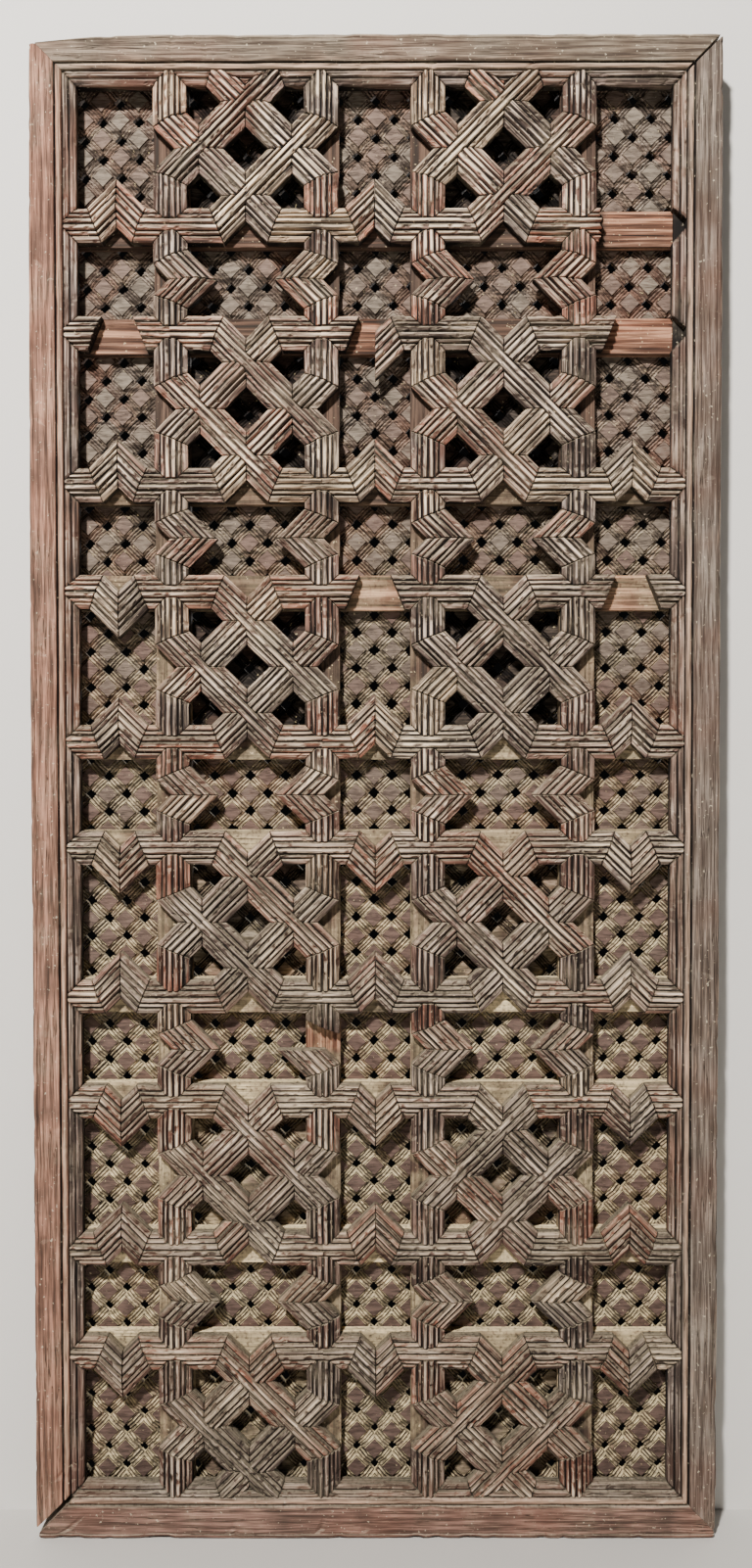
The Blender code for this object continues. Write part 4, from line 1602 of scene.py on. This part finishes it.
@dataclass
class Lattice:
    """Two sets of laths halved into each other, carved between the crossings.

    Attributes:
        pitch: from one lath's middle line to the next.
        half_lath: half a lath's width.
        half_diamond: half the width of the flat left at a crossing.
        half_foot: half its width at the foot of its bevel.
        fall: how much lower an arm's sides are than its crest.
        points_a_side: crossings along each side of the grid before it is trimmed.
        centre: x and z of the middle crossing.
        overlap: how far beyond the opening crossings are kept.
        seat_gap: between the laths and the rebate.
        seat_spare: how much wider and higher than the rebate they are laid.
        warp: how far the laths bow forwards.
        warp_least: how far back they may lie.
        back_wear: how clean their backs are.
        seed: of the random lean and tone.
    """

    pitch: float = 0.0303562
    half_lath: float = 0.0101
    half_diamond: float = 0.0081
    half_foot: float = 0.0086
    fall: float = 0.0034
    points_a_side: int = 60
    centre: tuple[float, float] = (-0.0006, 0.86225)
    overlap: float = 0.0175
    seat_gap: float = 0.0003
    seat_spare: tuple[float, float] = (0.004, 0.006)
    warp: float = 0.0009
    warp_least: float = 0.0002
    back_wear: float = 0.6
    seed: int = 4

    # Angles that hand-cut laths lean by at most, in radians
    MOST_LEAN = 0.022

    # Along half an arm from the crossing, in mm, with the height of its crest and the wear
    # Painted shade: low wear at the foot of the diamond's bevel and in the cuts round the holes
    # takes the dark groove colour, as dirt and as the shade there
    ARM = [(8.6, -2.0, 0.0), (10.1, -0.6, 0.75), (11.8, -2.5, 0.14), (13.5, -0.8, 0.7),
           (15.1781, -2.5, 0.14)]

    # Height from which creep is counted, and how far hand-laid laths have crept, in mm, by
    # powers of x and of the height over that
    CREEP_LEVEL = 0.86
    CREEP = {(0, 0): (-0.9, -0.52), (1, 0): (-9.35, 1.25), (0, 1): (2.26, -5.53),
             (2, 0): (4.77, -6.76), (1, 1): (4.56, 2.62), (0, 2): (2.47, 3.37),
             (1, 2): (25.33, 4.26), (2, 1): (6.38, -6.55), (0, 3): (-0.23, 13.42)}

    # Black dirt and painted shade on the laths deep in the large cells: two heights of a cell's
    # lower edge, and how much lies there
    DIRT_AND_SHADE_HEIGHTS = (0.3, 0.9)
    DIRT_AND_SHADE = (0.25, 0.9)

    def tile(self) -> bpy.types.Object:
        """Make one crossing with its four half arms.

        Returns:
            A closed solid round the origin, of a few dozen faces.
        """
        turn = math.sqrt(0.5)
        points, wear = [], []

        def put(u: float, w: float, height: float, rub: float) -> int:
            """Add a point by its places along the two laths, and give its number."""
            points.append(((u - w) * turn, -height, (u + w) * turn))
            wear.append(rub)
            return len(points) - 1

        quarters = ((1, 0), (0, 1), (-1, 0), (0, -1))
        corners = ((1, -1), (1, 1), (-1, 1), (-1, -1))
        flat, foot, half = self.half_diamond, self.half_foot, self.half_lath
        deep = LATTICE_FRONT + self.ARM[0][1] * MM
        edge = [put(flat * u, flat * w, LATTICE_FRONT, 1.0) for u, w in corners]
        ring = [put(foot * u, foot * w, deep, 0.0) for u, w in corners]
        nook = [put(half * u, half * w, LATTICE_FRONT + self.ARM[1][1] * MM - self.fall, 0.5)
                for u, w in corners]
        back = [put(half * u, half * w, LATTICE_BACK, self.back_wear) for u, w in corners]
        faces = [edge[:]]
        hem = []
        for i, (u, w) in enumerate(quarters):
            k = (i + 1) % 4
            faces.append([edge[i], edge[k], ring[k], ring[i]])
            rows = []
            for number, (place, drop, rub) in enumerate(self.ARM):
                run = place * MM
                crest = put(run * u, run * w, LATTICE_FRONT + drop * MM, rub)
                if number == 0:
                    rows.append((ring[i], crest, ring[k]))
                elif number == 1:
                    rows.append((nook[i], crest, nook[k]))
                else:
                    low = LATTICE_FRONT + drop * MM - self.fall
                    rows.append(tuple(put(run * u + side * half * -w, run * w + side * half * u,
                                          low, rub * 0.8) if side else crest
                                      for side in (-1, 0, 1)))
            for near, far in zip(rows, rows[1:]):
                faces.append([near[0], near[1], far[1], far[0]])
                faces.append([near[1], near[2], far[2], far[1]])
            run = self.ARM[-1][0] * MM
            below = [put(run * u + side * half * -w, run * w + side * half * u, LATTICE_BACK,
                         self.back_wear) for side in (-1, 1)]
            tip = rows[-1]
            faces.append([tip[0], tip[1], tip[2], below[1], below[0]])
            faces.append([row[0] for row in rows[1:]] + [below[0], back[i]])
            faces.append([row[2] for row in rows[1:]] + [below[1], back[k]])
            hem += [back[i], below[0], below[1]]
        faces.append(hem)
        mesh = bpy.data.meshes.new("lath_crossing")
        mesh.from_pydata(points, [], faces)
        mesh.attributes.new("wear", "FLOAT", "POINT").data.foreach_set("value", wear)
        work = bmesh.new()
        work.from_mesh(mesh)
        bmesh.ops.recalc_face_normals(work, faces=work.faces)
        work.to_mesh(mesh)
        work.free()
        return bpy.data.objects.new("lath_crossing", mesh)

    def tree(self) -> tuple[bpy.types.NodeTree, dict[str, str]]:
        """The geometry tree that lays the crossings out.

        Returns:
            The tree, and its inputs' identifiers by name.
        """
        tree = bpy.data.node_groups.new("lay_laths", "GeometryNodeTree")
        sockets = {}
        for name, kind in (("Pitch", "NodeSocketFloat"), ("Points a side", "NodeSocketInt"),
                           ("Centre", "NodeSocketVector"), ("Half width", "NodeSocketFloat"),
                           ("Half height", "NodeSocketFloat"),
                           ("Overlap", "NodeSocketFloat"), ("Seed", "NodeSocketInt"),
                           ("Crossing", "NodeSocketObject"), ("Wood", "NodeSocketMaterial")):
            sockets[name] = tree.interface.new_socket(
                name, in_out="INPUT", socket_type=kind).identifier
        tree.interface.new_socket("Geometry", in_out="OUTPUT", socket_type="NodeSocketGeometry")
        given = add_node(tree, "NodeGroupInput").outputs
        side = add_node(tree, "ShaderNodeMath", {"operation": "MULTIPLY_ADD", 2: 0.0},
                        {0: given["Pitch"], 1: add_node(
                            tree, "ShaderNodeMath", {"operation": "SUBTRACT", 1: 1.0},
                            {0: given["Points a side"]}).outputs[0]}).outputs[0]
        grid = add_node(tree, "GeometryNodeMeshGrid", {}, {
            "Size X": side, "Size Y": side, "Vertices X": given["Points a side"],
            "Vertices Y": given["Points a side"]}).outputs["Mesh"]
        turned = add_node(tree, "GeometryNodeTransform",
                          {"Rotation": (0.0, 0.0, math.radians(45))}, {"Geometry": grid})
        stood = add_node(tree, "GeometryNodeTransform",
                         {"Rotation": (math.radians(90), 0.0, 0.0)},
                         {"Geometry": turned.outputs[0]}).outputs[0]
        place = add_node(tree, "GeometryNodeInputPosition").outputs[0]
        apart = add_node(tree, "ShaderNodeVectorMath", {"operation": "ABSOLUTE"},
                         {0: place}).outputs[0]
        split = add_node(tree, "ShaderNodeSeparateXYZ", {}, {0: apart}).outputs
        too_wide = add_node(tree, "FunctionNodeCompare", {"operation": "GREATER_THAN"}, {
            0: split["X"], 1: add_node(tree, "ShaderNodeMath", {"operation": "ADD"}, {
                0: given["Half width"], 1: given["Overlap"]}).outputs[0]}).outputs[0]
        too_high = add_node(tree, "FunctionNodeCompare", {"operation": "GREATER_THAN"}, {
            0: split["Z"], 1: add_node(tree, "ShaderNodeMath", {"operation": "ADD"}, {
                0: given["Half height"], 1: given["Overlap"]}).outputs[0]}).outputs[0]
        outside = add_node(tree, "FunctionNodeBooleanMath", {"operation": "OR"},
                           {0: too_wide, 1: too_high}).outputs[0]
        kept = add_node(tree, "GeometryNodeDeleteGeometry", {"domain": "POINT"},
                        {"Geometry": stood, "Selection": outside}).outputs[0]
        crossing = add_node(tree, "GeometryNodeObjectInfo", {},
                            {"Object": given["Crossing"]}).outputs["Geometry"]
        lean = add_node(tree, "FunctionNodeRandomValue",
                        {"data_type": "FLOAT_VECTOR", 0: (-self.MOST_LEAN,) * 3,
                         1: (self.MOST_LEAN,) * 3}, {"Seed": given["Seed"]}).outputs[0]
        laid = add_node(tree, "GeometryNodeInstanceOnPoints", {}, {
            "Points": kept, "Instance": crossing, "Rotation": lean}).outputs[0]
        tone = add_node(tree, "FunctionNodeRandomValue", {"data_type": "FLOAT"},
                        {"Seed": given["Seed"]}).outputs[1]
        toned = add_node(tree, "GeometryNodeStoreNamedAttribute",
                         {"domain": "INSTANCE", "data_type": "FLOAT", "Name": "tone"},
                         {"Geometry": laid, "Value": tone}).outputs[0]
        real = add_node(tree, "GeometryNodeRealizeInstances", {}, {0: toned}).outputs[0]
        limit = add_node(tree, "ShaderNodeCombineXYZ", {"Y": 1.0}, {
            "X": given["Half width"], "Z": given["Half height"]}).outputs[0]
        least = add_node(tree, "ShaderNodeVectorMath", {"operation": "SCALE", "Scale": -1.0},
                         {0: limit}).outputs[0]
        low = add_node(tree, "ShaderNodeVectorMath", {"operation": "MAXIMUM"},
                       {0: place, 1: least}).outputs[0]
        held = add_node(tree, "ShaderNodeVectorMath", {"operation": "MINIMUM"},
                        {0: low, 1: limit}).outputs[0]
        moved = add_node(tree, "ShaderNodeVectorMath", {"operation": "ADD"},
                         {0: held, 1: given["Centre"]}).outputs[0]
        set_in = add_node(tree, "GeometryNodeSetPosition", {},
                          {"Geometry": real, "Position": moved}).outputs[0]
        dressed = add_node(tree, "GeometryNodeSetMaterial", {},
                           {"Geometry": set_in, "Material": given["Wood"]}).outputs[0]
        add_node(tree, "NodeGroupOutput", {}, {0: dressed})
        return tree, sockets

    def build(self) -> None:
        """Build the lattice in place of both CAD layers of laths."""
        seat = BAND_LINE - BACK_WIDTH - self.seat_gap
        x, z = self.centre
        half_width = COLUMNS[-1] + seat + self.seat_spare[0]
        half_height = (ROWS[-1] - ROWS[0]) / 2 + seat + self.seat_spare[1]
        tree, sockets = self.tree()
        mesh = bpy.data.meshes.new("lath_start")
        starter = bpy.data.objects.new("lath_start", mesh)
        bpy.context.scene.collection.objects.link(starter)
        tile = self.tile()
        layer = starter.modifiers.new("lay_laths", "NODES")
        layer.node_group = tree
        values = {"Pitch": self.pitch, "Points a side": self.points_a_side,
                  "Centre": (x, 0.0, z), "Half width": half_width,
                  "Half height": half_height, "Overlap": self.overlap, "Seed": self.seed,
                  "Crossing": tile, "Wood": LATH_WOOD.build()}
        for name, value in values.items():
            layer[sockets[name]] = value
        graph = bpy.context.evaluated_depsgraph_get()
        laid = bpy.data.meshes.new_from_object(starter.evaluated_get(graph))
        bpy.data.objects.remove(starter, do_unlink=True)
        bpy.data.objects.remove(tile, do_unlink=True)
        self.creep(laid, (COLUMNS[0] - seat, ROWS[0] - seat),
                   (COLUMNS[-1] + seat, ROWS[-1] + seat))
        new_piece("carved_laths", laid, None, ["front_laths", "back_laths"])

    def creep(self, mesh: bpy.types.Mesh, low: tuple[float, float],
              high: tuple[float, float]) -> None:
        """Shift the laths as they have crept, and hold them inside the frame's rebate.

        Args:
            mesh: the laid laths.
            low: lowest x and z of the rebate.
            high: highest x and z of the rebate.
        """
        points = np.empty(len(mesh.vertices) * 3, dtype=np.float32)
        mesh.vertices.foreach_get("co", points)
        points = points.reshape(-1, 3).astype(float)
        x, z = points[:, 0].copy(), points[:, 2] - self.CREEP_LEVEL
        for (i, j), (right, up) in self.CREEP.items():
            points[:, 0] += x ** i * z ** j * right * MM
            points[:, 2] += x ** i * z ** j * up * MM
        points[:, 0] = np.clip(points[:, 0], low[0], high[0])
        points[:, 2] = np.clip(points[:, 2], low[1], high[1])
        points[:, 1] += self.warp * noise(points * [1, 0, 1], 0.05, 9) - self.warp_least
        mesh.vertices.foreach_set("co", points.ravel())
        wear = np.empty(len(points), dtype=np.float32)
        mesh.attributes["wear"].data.foreach_get("value", wear)
        behind = points[:, 1] > -(LATTICE_BACK + MM)
        # Black dirt and painted shade: the front faces in the large cells lose wear, which turns
        # them dark, most in the upper cells
        wear *= np.where(behind, 1.0, self.free_of_dirt_and_shade(points))
        mesh.attributes["wear"].data.foreach_set("value", wear)
        mesh.update()

    def free_of_dirt_and_shade(self, points: np.ndarray) -> np.ndarray:
        """Say how free of black dirt and painted shade each place is: least so in the upper large
        cells.

        Args:
            points: n x 3 places.

        Returns:
            n values, 1 where neither dirt nor shade is painted.
        """
        clean_and_unshaded = np.ones(len(points))
        for left, right in zip(COLUMNS[1::2], COLUMNS[2::2]):
            for low, high in zip(ROWS[::2], ROWS[1::2]):
                inside = ((points[:, 0] > left) & (points[:, 0] < right)
                          & (points[:, 2] > low) & (points[:, 2] < high))
                dirt_and_shade = np.interp(low, self.DIRT_AND_SHADE_HEIGHTS, self.DIRT_AND_SHADE)
                clean_and_unshaded[inside] -= dirt_and_shade
        return clean_and_unshaded


@dataclass
class Boards:
    """The halved boards behind the straps, which keep their CAD shape."""

    uprights: int = 4
    crosses: int = 10

    def build(self) -> None:
        """Dress the boards."""
        for prefix, number, finish in (("upright_board_", self.uprights, BOARD_UP),
                                       ("cross_board_", self.crosses, BOARD_ACROSS)):
            wood = finish.build()
            for i in range(number):
                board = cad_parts[f"{prefix}{i + 1}"]
                for slot in board.material_slots:
                    slot.material = wood
                LOG.info("%s dressed", board.name)


@dataclass(frozen=True)
class SoftLight:
    """A round soft light: where it stands, how wide it is in metres, its watts and colour."""

    name: str
    place: tuple[float, float, float]
    size: float
    power: float
    colour: str


@dataclass
class Studio:
    """Camera, lights, backdrop and floor.

    Attributes:
        focal_px: focal length in pixels of the photograph.
        long_side_px: height of the photograph.
        place: where the camera stands.
        pitch_deg: how far it looks down.
        yaw_deg: how far it is turned to the left.
        roll_deg: how far it is tilted.
        aim: what the lights are turned to.
        inset: how much smaller than the screen the backdrop's opening is on each side.
        stage_half_width: half the backdrop's width.
        stage_height: height of its upper edge.
        stage_depth: how far forwards the floor reaches.
        stage_gap: between the floor and the screen.
        backdrop_gap: between the backdrop and the screen.
    """

    focal_px: float = 1258.0
    long_side_px: float = 1601.0
    place: tuple[float, float, float] = (0.003, -1.5, 0.906)
    pitch_deg: float = 1.30
    yaw_deg: float = 0.08
    roll_deg: float = 0.05
    aim: tuple[float, float, float] = (0.0, 0.0, 0.9)
    inset: float = 0.0025
    stage_half_width: float = 3.0
    stage_height: float = 3.2
    stage_depth: float = 4.0
    stage_gap: float = 0.0005
    backdrop_gap: float = 0.001

    LIGHTS = (SoftLight("key", (-0.8, -2.6, 2.95), 0.26, 268.0, "#fffaf5"),
              SoftLight("fill", (2.0, -3.2, 1.0), 2.4, 3.5, "#f2f4ff"),
              SoftLight("back", (1.2, 3.2, 2.4), 2.0, 110.0, "#ffffff"))

    # The backdrop's opening at the screen's worn corner: metres right of its left edge and
    # below its top
    WORN_CORNER = ((0.09, 0.005), (0.05, 0.0085), (0.02, 0.0125), (0.0066, 0.019),
                   (0.0044, 0.25))

    def add_camera(self) -> None:
        """Put the camera where the photograph was taken from."""
        data = bpy.data.cameras.new("camera")
        data.sensor_width = 36.0
        data.lens = self.focal_px * data.sensor_width / self.long_side_px
        camera = bpy.data.objects.new("camera", data)
        camera.location = self.place
        camera.rotation_euler = (math.radians(90 - self.pitch_deg), math.radians(self.roll_deg),
                                 math.radians(self.yaw_deg))
        bpy.context.scene.collection.objects.link(camera)
        bpy.context.scene.camera = camera

    def add_light(self, light: SoftLight) -> None:
        """Hang a soft light and turn it to the screen.

        Args:
            light: the light.
        """
        data = bpy.data.lights.new(light.name, "AREA")
        data.shape = "DISK"
        data.size, data.energy, data.color = light.size, light.power, linear(light.colour)[:3]
        lamp = bpy.data.objects.new(light.name, data)
        lamp.location = light.place
        lamp.rotation_euler = (Vector(self.aim) - lamp.location).to_track_quat(
            "-Z", "Y").to_euler()
        bpy.context.scene.collection.objects.link(lamp)

    def add_stage(self, name: str, corners: list[tuple[float, float, float]],
                  rings: list[list[int]], colour: str) -> None:
        """Add a matt painted surface that isn't part of the screen.

        Args:
            name: its name.
            corners: places of its corners.
            rings: corners of each of its faces, in order.
            colour: hex colour of the paint.
        """
        mesh = bpy.data.meshes.new(name)
        mesh.from_pydata(corners, [], rings)
        paint = bpy.data.materials.new(name + "_painted_matt")
        paint.use_nodes = True
        shader = paint.node_tree.nodes["Principled BSDF"]
        shader.inputs["Base Color"].default_value = linear(colour)
        shader.inputs["Roughness"].default_value = 0.8
        mesh.materials.append(paint)
        item = bpy.data.objects.new(name, mesh)
        bpy.context.scene.collection.objects.link(item)

    def add_backdrop(self) -> None:
        """A plain backdrop with an opening just smaller than the screen, and a floor before it.

        The opening leaves the dark behind the screen to show through its holes, and its back
        to be seen from behind. It follows the worn corner at the top left.
        """
        level, wide, high = BOTTOM - self.stage_gap, self.stage_half_width, self.stage_height
        left, right = LEFT + self.inset, RIGHT - self.inset
        opening = [(left, BOTTOM + self.inset), (right, BOTTOM + self.inset),
                   (right, TOP - 0.008), (RIGHT - 0.008, TOP - self.inset),
                   (LEFT + 0.16, TOP - self.inset),
                   *[(LEFT + over, TOP - under) for over, under in self.WORN_CORNER],
                   (left, TOP - 0.75)]
        outer = [(-wide, level), (wide, level), (wide, high), (-wide, high)]
        corners = [(x, self.backdrop_gap, z) for x, z in opening + outer]
        low_left, low_right, up_right, up_left = range(len(opening), len(opening) + 4)
        rings = [[low_left, low_right, 1, 0], [low_right, up_right, 3, 2, 1],
                 [up_right, up_left, 8, 7, 6, 5, 4, 3],
                 [up_left, low_left, 0, 10, 9, 8]]
        self.add_stage("backdrop", corners, rings, "#dcdad5")
        floor = [(x, y, level) for x, y in (
            (-wide, -self.stage_depth), (wide, -self.stage_depth),
            (wide, self.backdrop_gap), (-wide, self.backdrop_gap))]
        self.add_stage("floor", floor, [[0, 1, 2, 3]], "#c6c4bf")

    def build(self) -> None:
        """Set up the whole studio."""
        self.add_camera()
        self.add_backdrop()
        for light in self.LIGHTS:
            self.add_light(light)
        world = bpy.data.worlds.new("studio_dusk")
        world.use_nodes = True
        world.node_tree.nodes["Background"].inputs["Color"].default_value = linear("#2e2e2f")
        world.node_tree.nodes["Background"].inputs["Strength"].default_value = 0.1
        bpy.context.scene.world = world


def main() -> None:
    """Build every piece in order."""
    logging.basicConfig(level=logging.INFO, format="%(name)s %(message)s")
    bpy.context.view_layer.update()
    straps = Strapwork()
    straps.build()
    Frame().build(straps.joints)
    Lattice().build()
    Boards().build()
    Studio().build()


if __name__ == "__main__":
    main()
